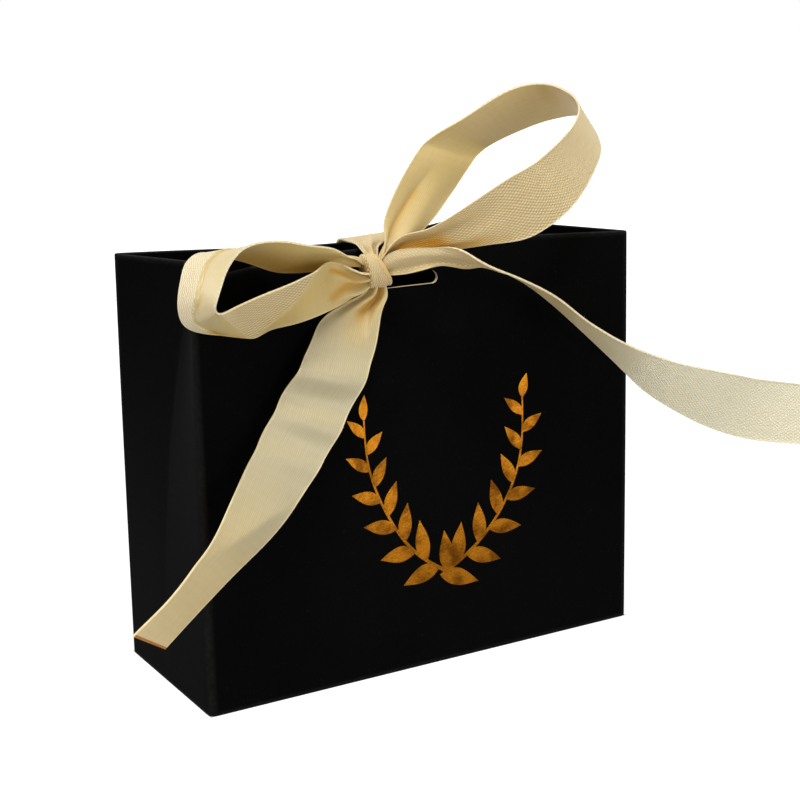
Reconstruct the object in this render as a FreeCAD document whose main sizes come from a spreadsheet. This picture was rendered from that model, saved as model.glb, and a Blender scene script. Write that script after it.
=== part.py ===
"""Small black gift box of folded card, closed at the top by a satin ribbon tied in a bow.

Frame: +Z up, the front panel faces -Y, and the origin is the middle of the base. Millimetres.
"""

import FreeCAD
import Part
import Sketcher
import math
import os

from FreeCAD import Placement, Rotation, Vector

SIZES = {
    # The card box
    "box_width": 115,
    "box_depth": 46,
    "box_height": 98,
    "mouth_depth": 44.6,
    "front_pull": 16,
    "back_pull": 18,
    "gusset_fold": 11.5,
    "board": 0.5,
    "crease_radius": 1.0,
    "crease_gap": 0.1,
    "turn_in_height": 20,
    "glue_tab_width": 12,
    "glue_tab_drop": 2,
    "slot_length": 22,
    "slot_height": 3,
    "slot_drop": 8,
    # The four flaps of the base
    "flap_gap": 0.3,
    "front_flap_length": 42,
    "back_flap_length": 21,
    "side_flap_length": 18,
    "flap_corner": 6,
    # The ribbon and its bow
    "ribbon_width": 16,
    "ribbon_thickness": 0.4,
    "knot_width": 7,
    "knot_depth": 6,
    "knot_height": 9,
    "knot_offset": 7,
    "knot_drop": 4.5,
    "knot_standoff": 5,
    "strap_standoff": 1,
    "strap_rise": 3.5,
    "strap_setback": 2.6,
}

doc = FreeCAD.newDocument("GiftBox")
sheet = doc.addObject("Spreadsheet::Sheet", "Sizes")
for row, (alias, value) in enumerate(SIZES.items(), start=1):
    sheet.set(f"A{row}", alias)
    sheet.set(f"B{row}", str(value))
    sheet.setAlias(f"B{row}", alias)
doc.recompute()


def size(alias):
    """The value of one cell of the sheet."""
    return float(getattr(sheet, alias))


WIDTH = size("box_width")
DEPTH = size("box_depth")
HEIGHT = size("box_height")
BOARD = size("board")
GAP = size("crease_gap")
RADIUS = size("crease_radius")
SLOT_Z = HEIGHT - size("slot_drop")

# How far a top edge is pulled in, from corner to corner: (share of the half width, share of the pull).
FRONT_BOW = ((-1, 0), (-0.64, 0.66), (-0.1, 1), (0.28, 0.88), (0.64, 0.5), (1, 0))
BACK_BOW = ((-1, 0), (-0.65, 0.44), (-0.12, 1), (0.14, 0.85), (0.42, 0.45), (0.62, 0.2), (1, 0))
# The pull and the fold fade towards the base, which stays square.
PULL_POWER = 1.7
FOLD_POWER = 2.2
# A strip inside a panel follows its bow in this many steps.
STRIP_STEPS = 14
HEM = 1 - size("turn_in_height") / HEIGHT
LEVELS = (0, 0.4 * HEM, 0.7 * HEM, HEM, 1)

parts = []


def keep(feature, label):
    """Names a finished sub-part and puts it on the list to export."""
    feature.Label = label
    parts.append(feature)
    return feature


def card_piece(label, shape):
    """A bent piece of card whose shape no sketch can give."""
    feature = doc.addObject("Part::Feature", label)
    feature.Shape = shape
    feature.Placement = Placement()
    return keep(feature, label)


def half_depth(z):
    """From the middle plane to the corner crease at a height: the box leans in a little towards its mouth."""
    return (DEPTH - (DEPTH - size("mouth_depth")) * z / HEIGHT) / 2


def spline(points):
    """A smooth edge through points."""
    curve = Part.BSplineCurve()
    curve.interpolate(points)
    return curve.toShape()


def bowed_edge(profile, pull, z, inset, margin):
    """One long edge of a panel's section at a height, inset from the outer face, for the front panel."""
    fade = (z / HEIGHT) ** PULL_POWER
    points = []
    for share, reach in profile:
        x = share * (WIDTH / 2 - margin)
        points.append(Vector(x, -half_depth(z) + inset + pull * reach * fade, z))
    return points


def corner_arc(sign, inset, z):
    """A corner crease in plan, from the side face to the front face."""
    side_x = sign * (WIDTH / 2 - inset)
    front_y = -half_depth(z) + inset
    bend = RADIUS - inset
    cos45 = math.cos(math.pi / 4)
    start = Vector(side_x, front_y + bend, z)
    middle = Vector(side_x - sign * bend * (1 - cos45), front_y + bend * (1 - cos45), z)
    end = Vector(side_x - sign * bend, front_y, z)
    return start, middle, end


def panel_section(profile, pull, z):
    """The section of a bowed panel with both corner creases, as one closed wire."""
    edges = []
    for inset, turn in ((0, 1), (BOARD, -1)):
        left = corner_arc(-1, inset, z)
        right = corner_arc(1, inset, z)
        long_edge = bowed_edge(profile, pull, z, inset, RADIUS)
        if turn == 1:
            edges.append(Part.Arc(*left).toShape())
            edges.append(spline(long_edge))
            edges.append(Part.Arc(*reversed(right)).toShape())
            outer_start, outer_end = left[0], right[0]
        else:
            edges.append(Part.makeLine(outer_end, right[0]))
            edges.append(Part.Arc(*right).toShape())
            edges.append(spline(long_edge[::-1]))
            edges.append(Part.Arc(*reversed(left)).toShape())
            edges.append(Part.makeLine(left[0], outer_start))
    return Part.Wire(edges)


def strip_section(profile, pull, z, first_inset, second_inset, margins):
    """The section of a flat strip that lies inside a bowed panel, between two margins from the sides."""
    left, right = margins
    outlines = []
    for inset in (first_inset, second_inset):
        points = []
        for step in range(STRIP_STEPS + 1):
            x = -WIDTH / 2 + left + (WIDTH - left - right) * step / STRIP_STEPS
            points.append(Vector(x, -half_depth(z) + inset + smooth_bow(profile, pull, x, z), z))
        outlines.append(points)
    outer, inner = outlines
    return Part.Wire([
        spline(outer),
        Part.makeLine(outer[-1], inner[-1]),
        spline(inner[::-1]),
        Part.makeLine(inner[0], outer[0]),
    ])


def smooth_bow(profile, pull, x, z):
    """How far a panel is pulled in at a place, on its smooth edge."""
    curve = Part.BSplineCurve()
    curve.interpolate([Vector(share * (WIDTH / 2 - RADIUS), reach, 0) for share, reach in profile])
    reach_x = max(-WIDTH / 2 + RADIUS, min(WIDTH / 2 - RADIUS, x))
    line = Part.Line(Vector(reach_x, 0, 0), Vector(reach_x, 1, 0))
    crossing = curve.intersectCC(line)[0]
    return pull * crossing.Y * (z / HEIGHT) ** PULL_POWER


def slot_tool(y_low, y_high):
    """The round-ended slot that the ribbon passes through, as a bar along Y."""
    round_end = size("slot_height") / 2
    straight = size("slot_length") / 2 - round_end
    bar = Part.makeBox(
        2 * straight, y_high - y_low, 2 * round_end, Vector(-straight, y_low, SLOT_Z - round_end)
    )
    for end in (-straight, straight):
        bar = bar.fuse(
            Part.makeCylinder(round_end, y_high - y_low, Vector(end, y_low, SLOT_Z), Vector(0, 1, 0))
        )
    return bar.removeSplitter()


def turned_back(shape):
    """The same shape on the back of the box, seen from behind."""
    return shape.mirror(Vector(0, 0, 0), Vector(0, 1, 0))


def build_panel(side, profile, pull):
    """A front or back panel, its turned-in top and the slot through both."""
    slot = slot_tool(-DEPTH, 0)
    panel = Part.makeLoft([panel_section(profile, pull, HEIGHT * level) for level in LEVELS], True)
    first = BOARD + 2 * GAP
    side_room = RADIUS + 2 * BOARD + GAP
    levels = [HEIGHT - size("turn_in_height") * share for share in (1, 0.5, 0)]
    turn_in = Part.makeLoft(
        [strip_section(profile, pull, z, first, first + BOARD, (side_room, side_room)) for z in levels], True
    )
    shapes = {f"{side}_panel": panel.cut(slot), f"{side}_turn_in": turn_in.cut(slot)}
    for label, shape in shapes.items():
        card_piece(label, turned_back(shape) if side == "back" else shape)


def fold_at(z):
    """How far a gusset's middle crease is folded in at a height."""
    return size("gusset_fold") * (z / HEIGHT) ** FOLD_POWER


def gusset_section(hand, end, z, first, second, trim):
    """The section of half a gusset: hand is -1 on the left, end is -1 at the front."""
    corner = Vector(hand * WIDTH / 2, end * (half_depth(z) - RADIUS - GAP), z)
    crease = Vector(hand * (WIDTH / 2 - fold_at(z)), end * GAP / 2, z)
    run = crease - corner
    lean = run.Length / abs(run.y)
    inward = Vector(-hand * lean, 0, 0)
    start = corner + run * (trim / run.Length)
    points = [start + inward * first, crease + inward * first, crease + inward * second, start + inward * second]
    return Part.makePolygon(points + points[:1])


def build_gusset(hand, side):
    """One side of the box: two halves with a crease between them, and their turned-in tops."""
    for end, half in ((-1, "front"), (1, "rear")):
        sections = [gusset_section(hand, end, HEIGHT * level, 0, BOARD, 0) for level in LEVELS]
        card_piece(f"{side}_gusset_{half}", Part.makeLoft(sections, True, True))
        first = BOARD + GAP
        hem = [
            gusset_section(hand, end, HEIGHT * level, first, first + BOARD, 2 * BOARD)
            for level in LEVELS[-2:]
        ]
        card_piece(f"{side}_{half}_turn_in", Part.makeLoft(hem, True, True))


def build_glue_tab():
    """The tab that closes the tube, glued inside the back panel beside the right gusset."""
    top = HEIGHT - size("turn_in_height") - size("glue_tab_drop")
    side_room = RADIUS + 2 * BOARD
    margins = (WIDTH - side_room - size("glue_tab_width"), side_room)
    first = BOARD + 2 * GAP
    levels = [top * share for share in (0.06, 0.4, 0.7, 1)]
    pull = size("back_pull")
    tab = Part.makeLoft(
        [strip_section(BACK_BOW, pull, z, first, first + BOARD, margins) for z in levels], True
    )
    card_piece("glue_tab", turned_back(tab))


def origin_plane(body, role):
    """One of a body's own origin planes."""
    return next(plane for plane in body.Origin.OriginFeatures if plane.Role == role)


def bound_distance(sketch, kind, at, name, expression):
    """A named distance of a sketch, bound to the sheet."""
    sketch.addConstraint(Sketcher.Constraint(kind, *at, 1.0))
    index = sketch.ConstraintCount - 1
    sketch.renameConstraint(index, name)
    sketch.setExpression(f"Constraints.{name}", expression)


def build_flap(label, length, width, cut_along, cut_across, place):
    """A flap of the base: a board with its crease rolled round the hinge line, and two cut corners.

    The hinge line is the body's X axis and the flap runs along its +Y.
    """
    body = doc.addObject("PartDesign::Body", label)
    side = body.newObject("Sketcher::SketchObject", f"{label}_side")
    side.AttachmentSupport = [(origin_plane(body, "YZ_Plane"), "")]
    side.MapMode = "FlatFace"
    half = BOARD / 2
    long_run = 20
    side.addGeometry(Part.LineSegment(Vector(0, -half, 0), Vector(long_run, -half, 0)))
    side.addGeometry(Part.LineSegment(Vector(long_run, -half, 0), Vector(long_run, half, 0)))
    side.addGeometry(Part.LineSegment(Vector(long_run, half, 0), Vector(0, half, 0)))
    circle = Part.Circle(Vector(0, 0, 0), Vector(0, 0, 1), half)
    side.addGeometry(Part.ArcOfCircle(circle, math.pi / 2, 3 * math.pi / 2))
    for first, second in ((0, 1), (1, 2)):
        side.addConstraint(Sketcher.Constraint("Coincident", first, 2, second, 1))
    side.addConstraint(Sketcher.Constraint("Tangent", 2, 2, 3, 1))
    side.addConstraint(Sketcher.Constraint("Tangent", 3, 2, 0, 1))
    side.addConstraint(Sketcher.Constraint("Coincident", 3, 3, -1, 1))
    side.addConstraint(Sketcher.Constraint("Horizontal", 0))
    side.addConstraint(Sketcher.Constraint("Vertical", 1))
    side.addConstraint(Sketcher.Constraint("Horizontal", 2))
    bound_distance(side, "Radius", (3,), "bead", "Sizes.board / 2")
    bound_distance(side, "DistanceX", (-1, 1, 0, 2), "reach", length)
    pad = body.newObject("PartDesign::Pad", f"{label}_board")
    pad.Profile = side
    pad.SideType = "Symmetric"
    pad.setExpression("Length", width)
    doc.recompute()
    full = pad.Shape.Volume
    corners = body.newObject("Sketcher::SketchObject", f"{label}_corners")
    corners.AttachmentSupport = [(origin_plane(body, "XY_Plane"), "")]
    corners.MapMode = "FlatFace"
    half_width = pad.Length.Value / 2
    reach = side.getDatum("reach").Value
    for index, hand in enumerate((-1, 1)):
        tip = Vector(hand * half_width, reach, 0)
        along = Vector(hand * half_width, reach * 0.6, 0)
        across = Vector(hand * half_width * 0.8, reach, 0)
        base = 3 * index
        corners.addGeometry(Part.LineSegment(tip, along))
        corners.addGeometry(Part.LineSegment(along, across))
        corners.addGeometry(Part.LineSegment(across, tip))
        for first, second in ((0, 1), (1, 2), (2, 0)):
            corners.addConstraint(Sketcher.Constraint("Coincident", base + first, 2, base + second, 1))
        corners.addConstraint(Sketcher.Constraint("Vertical", base))
        corners.addConstraint(Sketcher.Constraint("Horizontal", base + 2))
        hand_name = "left" if hand < 0 else "right"
        pair = (base, 1, -1, 1) if hand < 0 else (-1, 1, base, 1)
        bound_distance(corners, "DistanceX", pair, f"{hand_name}_half", f"({width}) / 2")
        bound_distance(corners, "DistanceY", (-1, 1, base, 1), f"{hand_name}_reach", length)
        bound_distance(corners, "DistanceY", (base, 2, base, 1), f"{hand_name}_along", cut_along)
        pair = (base + 2, 2, base + 2, 1) if hand < 0 else (base + 2, 1, base + 2, 2)
        bound_distance(corners, "DistanceX", pair, f"{hand_name}_across", cut_across)
    pocket = body.newObject("PartDesign::Pocket", f"{label}_cut")
    pocket.Profile = corners
    pocket.Type = "ThroughAll"
    pocket.Midplane = True
    doc.recompute()
    if not pocket.Shape.Volume < full:
        raise RuntimeError(f"{label}: its corners weren't cut")
    body.Placement = place
    return keep(body, label)


def build_base():
    """The four flaps of the base, each layer a gap above the one below it."""
    layer = BOARD + size("flap_gap")
    hinge_room = BOARD + size("flap_gap") + BOARD / 2
    front_y = DEPTH / 2 - hinge_room
    side_x = WIDTH / 2 - hinge_room
    inside = "Sizes.box_width - 2 * (Sizes.board + Sizes.crease_radius + Sizes.flap_gap)"
    side_width = "Sizes.box_depth - 2 * (2 * Sizes.board + Sizes.crease_radius + Sizes.flap_gap)"
    corner = "Sizes.flap_corner"
    mitre = "Sizes.side_flap_length"
    lowest = BOARD / 2
    build_flap(
        "front_base_flap", "Sizes.front_flap_length", inside, corner, corner,
        Placement(Vector(0, -front_y, lowest), Rotation()),
    )
    build_flap(
        "back_base_flap", "Sizes.back_flap_length", inside, corner, corner,
        Placement(Vector(0, front_y, lowest + layer), Rotation(Vector(0, 0, 1), 180)),
    )
    for hand, side in ((-1, "left"), (1, "right")):
        build_flap(
            f"{side}_base_flap", "Sizes.side_flap_length", side_width, mitre, mitre,
            Placement(Vector(hand * side_x, 0, lowest + 2 * layer), Rotation(Vector(0, 0, 1), 90 * hand)),
        )


def front_face(x, z):
    """Y of the front panel's outer face at a place."""
    return -half_depth(z) + smooth_bow(FRONT_BOW, size("front_pull"), x, z)


def back_face(x, z):
    """Y of the back panel's outer face at a place."""
    return half_depth(z) - smooth_bow(BACK_BOW, size("back_pull"), x, z)


KNOT_Z = HEIGHT - size("knot_drop")
KNOT = Vector(
    -size("knot_offset"), front_face(-size("knot_offset"), KNOT_Z) - size("knot_standoff"), KNOT_Z
)

# The longest straight step along the ribbon, and along its ring, which bends more tightly.
RIBBON_STEP = 3
STRAP_STEP = 0.8
# Ribbon stations from the knot: the middle of the ribbon, the way across it, and the share of its width
# that isn't gathered there.
RIGHT_LOOP = (
    ((2.8, 1, 4.1), (-0.78, -0.52, 0.34), 0.28),
    ((11, 6.5, 8.5), (-0.95, -0.2, 0.25), 0.8),
    ((21.5, 12.5, 17), (-0.93, -0.15, 0.34), 1),
    ((29.5, 15, 24), (-0.95, -0.1, 0.3), 1),
    ((38, 17, 27.5), (-0.81, -0.38, 0.44), 1),
    ((50.5, 16.5, 32.5), (-0.65, -0.43, 0.63), 1),
    ((56.5, 13, 34), (-0.6, -0.53, 0.6), 1),
    ((59.5, 6.5, 33.5), (-0.67, -0.6, 0.43), 1),
    ((57.5, -2, 29.5), (-0.69, -0.44, 0.57), 1),
    ((51, -9, 25.5), (-0.74, -0.35, 0.58), 1),
    ((40, -13, 18), (-0.67, -0.11, 0.74), 1),
    ((30, -14.5, 14), (-0.4, -0.1, 0.91), 1),
    ((19.5, -13.5, 10), (-0.6, -0.21, 0.76), 0.85),
    ((11, -8, 8), (-0.5, -0.66, 0.57), 0.65),
    ((2.8, -1.7, 3.5), (-0.53, -0.72, 0.45), 0.3),
)
LEFT_LOOP = (
    ((-3.9, -1, -1.6), (-0.3, -0.4, 0.86), 0.3),
    ((-11, -2.5, -0.5), (-0.42, -0.37, 0.83), 0.8),
    ((-18, -6, -1), (-0.42, -0.45, 0.79), 0.95),
    ((-25.5, -8, -2.5), (-0.36, -0.6, 0.72), 1),
    ((-34, -10.5, -3.5), (-0.42, -0.69, 0.59), 1),
    ((-40, -13, -4.5), (-0.43, -0.72, 0.55), 1),
    ((-46.5, -16.5, -3.2), (-0.24, -0.88, 0.42), 1),
    ((-50.5, -18.2, -0.2), (0.05, -0.92, 0.38), 1),
    ((-51.3, -17.7, 3.2), (0.14, -0.96, 0.24), 1),
    ((-50, -15.5, 6), (0.15, -0.98, 0.14), 1),
    ((-47.5, -12.5, 8.5), (0.16, -0.98, 0.08), 1),
    ((-42.5, -9, 10.5), (0.15, -0.97, 0.17), 1),
    ((-37.5, -7.6, 10.2), (0.15, -0.94, 0.3), 1),
    ((-31.2, -7.4, 8.9), (0.1, -0.91, 0.41), 1),
    ((-25, -6.8, 6.7), (0.08, -0.86, 0.5), 0.95),
    ((-15.5, -3.8, 4.9), (0, -0.84, 0.54), 0.8),
    ((-8, -0.5, 3.3), (-0.2, -0.82, 0.54), 0.5),
    ((-3.8, 1.2, 2.6), (-0.38, -0.71, 0.59), 0.25),
)
LEFT_TAIL = (
    ((-0.4, -0.6, -4.95), (-0.98, 0.1, 0.1), 0.3),
    ((-4.8, -0.4, -7.6), (-0.96, 0.2, 0.15), 0.62),
    ((-7.9, -1.2, -10.8), (-0.95, 0.2, 0.2), 0.87),
    ((-12, -4.5, -16), (-0.95, 0.06, 0.29), 1),
    ((-23, -9, -28.5), (-0.85, 0.18, 0.5), 1),
    ((-33.8, -13.7, -39.8), (-0.82, -0.01, 0.58), 1),
    ((-41.1, -16.9, -45.9), (-0.74, -0.23, 0.64), 1),
    ((-50.5, -20, -53.5), (-0.63, -0.5, 0.59), 1),
    ((-60.1, -21.4, -61.4), (-0.55, -0.6, 0.58), 1),
    ((-68.5, -22, -67.5), (-0.63, -0.55, 0.5), 1),
)
RIGHT_TAIL = (
    ((3.7, -1.6, -0.5), (-0.5, -0.4, 0.76), 0.3),
    ((7.5, -3.8, 1.6), (-0.5, -0.5, 0.7), 0.55),
    ((12.5, -6.5, 3), (-0.44, -0.74, 0.51), 0.8),
    ((21.5, -10, 1), (-0.52, -0.82, 0.24), 1),
    ((29.5, -12.5, -2.5), (-0.45, -0.88, 0.15), 1),
    ((37.5, -14, -7.5), (-0.38, -0.91, 0.17), 1),
    ((46, -16, -15), (-0.4, -0.88, 0.25), 1),
    ((56.5, -17, -23), (-0.28, -0.88, 0.38), 1),
    ((70.5, -17.5, -32), (-0.06, -0.72, 0.69), 1),
    ((93, -19, -41.5), (0.1, -0.22, 0.97), 1),
    ((112, -20.5, -46), (0.19, 0.03, 0.98), 1),
)


def smooth_at(values, lengths, at):
    """A smooth run through one vector per station, at a length along the ribbon, and its slope there."""
    last = len(values) - 1
    index = min(max(sum(length <= at for length in lengths) - 1, 0), last - 1)
    slopes = []
    for station in (index, index + 1):
        before = max(station - 1, 0)
        after = min(station + 1, last)
        slopes.append((values[after] - values[before]) * (1 / (lengths[after] - lengths[before])))
    run = lengths[index + 1] - lengths[index]
    share = (at - lengths[index]) / run
    chord = values[index + 1] - values[index]
    bend = slopes[0] * run - chord
    other_bend = chord - slopes[1] * run
    mix = bend * (1 - share) + other_bend * share
    value = values[index] + chord * share + mix * (share * (1 - share))
    slope = chord + mix * (1 - 2 * share) + (other_bend - bend) * (share * (1 - share))
    return value, slope * (1 / run)


def ribbon_piece(label, stations, longest_step):
    """A length of ribbon as one closed solid, through its stations and short steps between them."""
    thickness = size("ribbon_thickness")
    centres = [Vector(*centre) for centre, _, _ in stations]
    crossings = [Vector(*across).normalize() for _, across, _ in stations]
    shares = [Vector(share, 0, 0) for _, _, share in stations]
    lengths = [0]
    for before, after in zip(centres, centres[1:]):
        lengths.append(lengths[-1] + (after - before).Length)
    steps = math.ceil(lengths[-1] / longest_step)
    sections = []
    for step in range(steps + 1):
        at = lengths[-1] * step / steps
        middle, heading = smooth_at(centres, lengths, at)
        across = smooth_at(crossings, lengths, at)[0].normalize()
        share = min(smooth_at(shares, lengths, at)[0].x, 1)
        side = across * (size("ribbon_width") * share / 2)
        lift = heading.cross(across).normalize() * (thickness / 2)
        corners = [middle + side + lift, middle - side + lift, middle - side - lift, middle + side - lift]
        sections.append(Part.makePolygon(corners + corners[:1]))
    feature = doc.addObject("Part::Feature", label)
    feature.Shape = Part.makeLoft(sections, True, True)
    feature.Placement = Placement(KNOT, Rotation())
    return keep(feature, label)


def build_strap():
    """The ribbon's ring: flat over the back edge and in at the back slot, gathered at the front."""
    clear = size("strap_standoff")
    over = HEIGHT + clear
    below = HEIGHT - size("slot_drop") / 2
    half = size("ribbon_width") / 2
    back_run = (2 * half, back_face(half, HEIGHT) - back_face(-half, HEIGHT), 0)
    front_run = (1, 0, 0)
    back_top = back_face(0, HEIGHT)
    front_top = front_face(KNOT.x, HEIGHT)
    slot_back = back_face(0, SLOT_Z)
    slot_front = front_face(KNOT.x, SLOT_Z)
    middle = (front_top + back_top) / 2
    knot_top = KNOT.z + size("strap_rise")
    route = (
        (KNOT.x, KNOT.y + size("strap_setback"), knot_top, front_run, 0.2),
        (0.85 * KNOT.x, front_top - clear, over - 0.6 * clear, front_run, 0.32),
        (0.7 * KNOT.x, front_top + clear, over, front_run, 0.45),
        (0.35 * KNOT.x, middle, over, front_run, 0.7),
        (0, back_top - clear, over + 0.3 * clear, back_run, 0.97),
        (0, back_top + 1.4 * clear, over - 0.4 * clear, back_run, 1),
        (0, back_face(0, below) + 1.6 * clear, below, back_run, 1),
        (0, slot_back + 1.5 * clear, SLOT_Z + 0.7 * clear, back_run, 1),
        (0, slot_back - clear, SLOT_Z - 0.2 * clear, back_run, 1),
        (0.35 * KNOT.x, middle, SLOT_Z, front_run, 0.75),
        (0.8 * KNOT.x, slot_front + clear, SLOT_Z, front_run, 0.45),
        (KNOT.x, slot_front - clear, SLOT_Z + 0.3 * clear, front_run, 0.3),
    )
    stations = [(Vector(x, y, z) - KNOT, across, share) for x, y, z, across, share in route]
    ribbon_piece("ribbon_strap", stations, STRAP_STEP)


def build_knot():
    """The tight wrap in the middle of the bow."""
    knot = doc.addObject("Part::Ellipsoid", "ribbon_knot")
    knot.setExpression("Radius1", "Sizes.knot_height / 2")
    knot.setExpression("Radius2", "Sizes.knot_width / 2")
    knot.setExpression("Radius3", "Sizes.knot_depth / 2")
    knot.Placement = Placement(KNOT, Rotation())
    return keep(knot, "ribbon_knot")


build_panel("front", FRONT_BOW, size("front_pull"))
build_panel("back", BACK_BOW, size("back_pull"))
build_gusset(-1, "left")
build_gusset(1, "right")
build_glue_tab()
build_base()
build_strap()
build_knot()
ribbon_piece("left_loop", LEFT_LOOP, RIBBON_STEP)
ribbon_piece("right_loop", RIGHT_LOOP, RIBBON_STEP)
ribbon_piece("left_tail", LEFT_TAIL, RIBBON_STEP)
ribbon_piece("right_tail", RIGHT_TAIL, RIBBON_STEP)
doc.recompute()

for item in doc.Objects:
    if "Invalid" in item.State or "Error" in item.State:
        raise RuntimeError(f"{item.Label} failed: {item.State}")
for piece in parts:
    if piece.Shape.isNull() or not piece.Shape.isValid():
        raise RuntimeError(f"{piece.Label} has no valid shape")

os.makedirs("parts", exist_ok=True)
for piece in parts:
    piece.Shape.exportStep(f"parts/{piece.Label}.step")
    print(f"{piece.Label}: {piece.Shape.Volume:.1f} mm3, {len(piece.Shape.Solids)} solid")
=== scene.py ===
"""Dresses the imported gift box: folded black card, a foil sprig and a tied satin ribbon.

Frame: metres, +Z up, the front wall faces -Y, and the origin is the middle of the base. The classes
hold their sizes in millimetres and hand their meshes over in metres.
"""

import logging
import math
from dataclasses import dataclass, field
from enum import Enum, IntEnum

import bmesh
import bpy
import numpy as np
from mathutils import Matrix, Vector


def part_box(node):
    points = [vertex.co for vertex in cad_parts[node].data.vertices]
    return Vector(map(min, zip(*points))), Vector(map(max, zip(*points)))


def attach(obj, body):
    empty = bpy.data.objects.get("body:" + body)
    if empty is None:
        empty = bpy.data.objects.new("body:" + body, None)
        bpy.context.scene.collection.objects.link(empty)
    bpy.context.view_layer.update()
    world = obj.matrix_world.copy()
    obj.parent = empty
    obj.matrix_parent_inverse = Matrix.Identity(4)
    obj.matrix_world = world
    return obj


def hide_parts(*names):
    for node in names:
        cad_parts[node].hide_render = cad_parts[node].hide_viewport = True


MM = 0.001
RIBBON_WIDTH = 16.0
RIBBON_HALF = RIBBON_WIDTH / 2
MAP_PER_MM = 0.01
MM_PER_MAP = 100.0
LOG = logging.getLogger("gift_box")
Point = tuple[float, float, float]
Colour = tuple[float, float, float]
Station = tuple[Point, Point, float]
Flat = tuple[float, float]
Stem = tuple[Flat, ...]
Face = tuple[int, ...]
Plan = tuple[np.ndarray, np.ndarray]


class Side(Enum):
    """The two long walls, by the sign of their Y."""

    FRONT = -1
    BACK = 1


class RibbonFace(Enum):
    """The two faces of the ribbon."""

    SATIN = "satin"
    TWILL = "twill"


class RibbonSlot(IntEnum):
    """The material slots of a ribbon: the face turned outwards, the other face, and a cut end."""

    OUTER = 0
    INNER = 1
    CUT = 2


def linear(red: int, green: int, blue: int) -> Colour:
    """Turns a display colour into scene colour.

    Args:
        red: Its display value, from 0 to 255.
        green: The same for green.
        blue: The same for blue.

    Returns:
        The scene-linear colour.
    """
    values = []
    for value in (red, green, blue):
        share = value / 255
        values.append(share / 12.92 if share <= 0.04045 else ((share + 0.055) / 1.055) ** 2.4)
    return values[0], values[1], values[2]


class SmoothLine:
    """A natural cubic spline through a few (x, y) points."""

    def __init__(self, points: list[Flat]) -> None:
        """Solves the bends at the points.

        Args:
            points: The points, in rising order of x.
        """
        self.xs = np.array([point[0] for point in points], dtype=float)
        self.ys = np.array([point[1] for point in points], dtype=float)
        gaps = np.diff(self.xs)
        slopes = np.diff(self.ys) / gaps
        matrix = np.eye(len(points))
        right = np.zeros(len(points))
        for index in range(1, len(points) - 1):
            before, after = gaps[index - 1], gaps[index]
            matrix[index, index - 1 : index + 2] = before, 2 * (before + after), after
            right[index] = 6 * (slopes[index] - slopes[index - 1])
        self.bends = np.linalg.solve(matrix, right)

    def at(self, x: float) -> float:
        """The height of the line at x.

        Args:
            x: Where to read it; past the ends it stays level.

        Returns:
            The y of the line.
        """
        x = min(max(x, self.xs[0]), self.xs[-1])
        index = int(min(max(np.searchsorted(self.xs, x) - 1, 0), len(self.xs) - 2))
        gap = self.xs[index + 1] - self.xs[index]
        after = (x - self.xs[index]) / gap
        before = 1 - after
        bend = (before**3 - before) * self.bends[index] + (after**3 - after) * self.bends[index + 1]
        return float(before * self.ys[index] + after * self.ys[index + 1] + bend * gap * gap / 6)


def make_piece(
    name: str, points: np.ndarray, faces: list[Face], materials: list[bpy.types.Material]
) -> bpy.types.Object:
    """Makes a smooth-shaded mesh object at the origin.

    Args:
        name: The piece's name.
        points: One row per vertex, in millimetres.
        faces: Vertex indices of each face.
        materials: The materials, in slot order.

    Returns:
        The new object, linked to the scene.
    """
    mesh = bpy.data.meshes.new(name)
    mesh.from_pydata([tuple(float(value) * MM for value in point) for point in points], [], faces)
    for material in materials:
        mesh.materials.append(material)
    for polygon in mesh.polygons:
        polygon.use_smooth = True
    mesh.validate()
    mesh.update()
    piece = bpy.data.objects.new(name, mesh)
    bpy.context.scene.collection.objects.link(piece)
    return piece


def face_outwards(piece: bpy.types.Object) -> None:
    """Turns a closed mesh's faces outwards.

    Args:
        piece: The object that holds the mesh.
    """
    shell = bmesh.new()
    shell.from_mesh(piece.data)
    bmesh.ops.recalc_face_normals(shell, faces=shell.faces)
    shell.to_mesh(piece.data)
    shell.free()


def sharpen(piece: bpy.types.Object, degrees: float) -> None:
    """Keeps edges that turn more than an angle sharp."""
    piece.data.set_sharp_from_angle(angle=math.radians(degrees))


def give_value(piece: bpy.types.Object, label: str, values: np.ndarray | list[float]) -> None:
    """Gives each vertex a value of its own, which a material can read."""
    attribute = piece.data.attributes.new(label, "FLOAT", "POINT")
    attribute.data.foreach_set("value", np.asarray(values, dtype=np.float32))


def lay_map(piece: bpy.types.Object, flat: np.ndarray) -> None:
    """Gives a length of ribbon its own map.

    Args:
        piece: The length of ribbon.
        flat: The place of each vertex across and along the flat ribbon, in units of the map.
    """
    layer = piece.data.uv_layers.new(name="ribbon")
    corners = np.zeros(len(piece.data.loops), dtype=np.int32)
    piece.data.loops.foreach_get("vertex_index", corners)
    layer.data.foreach_set("uv", flat[corners].reshape(-1))


def evaluated_mesh(piece: bpy.types.Object) -> bpy.types.Mesh:
    """The plain mesh that an object's modifiers give."""
    graph = bpy.context.evaluated_depsgraph_get()
    return bpy.data.meshes.new_from_object(piece.evaluated_get(graph))


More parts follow.
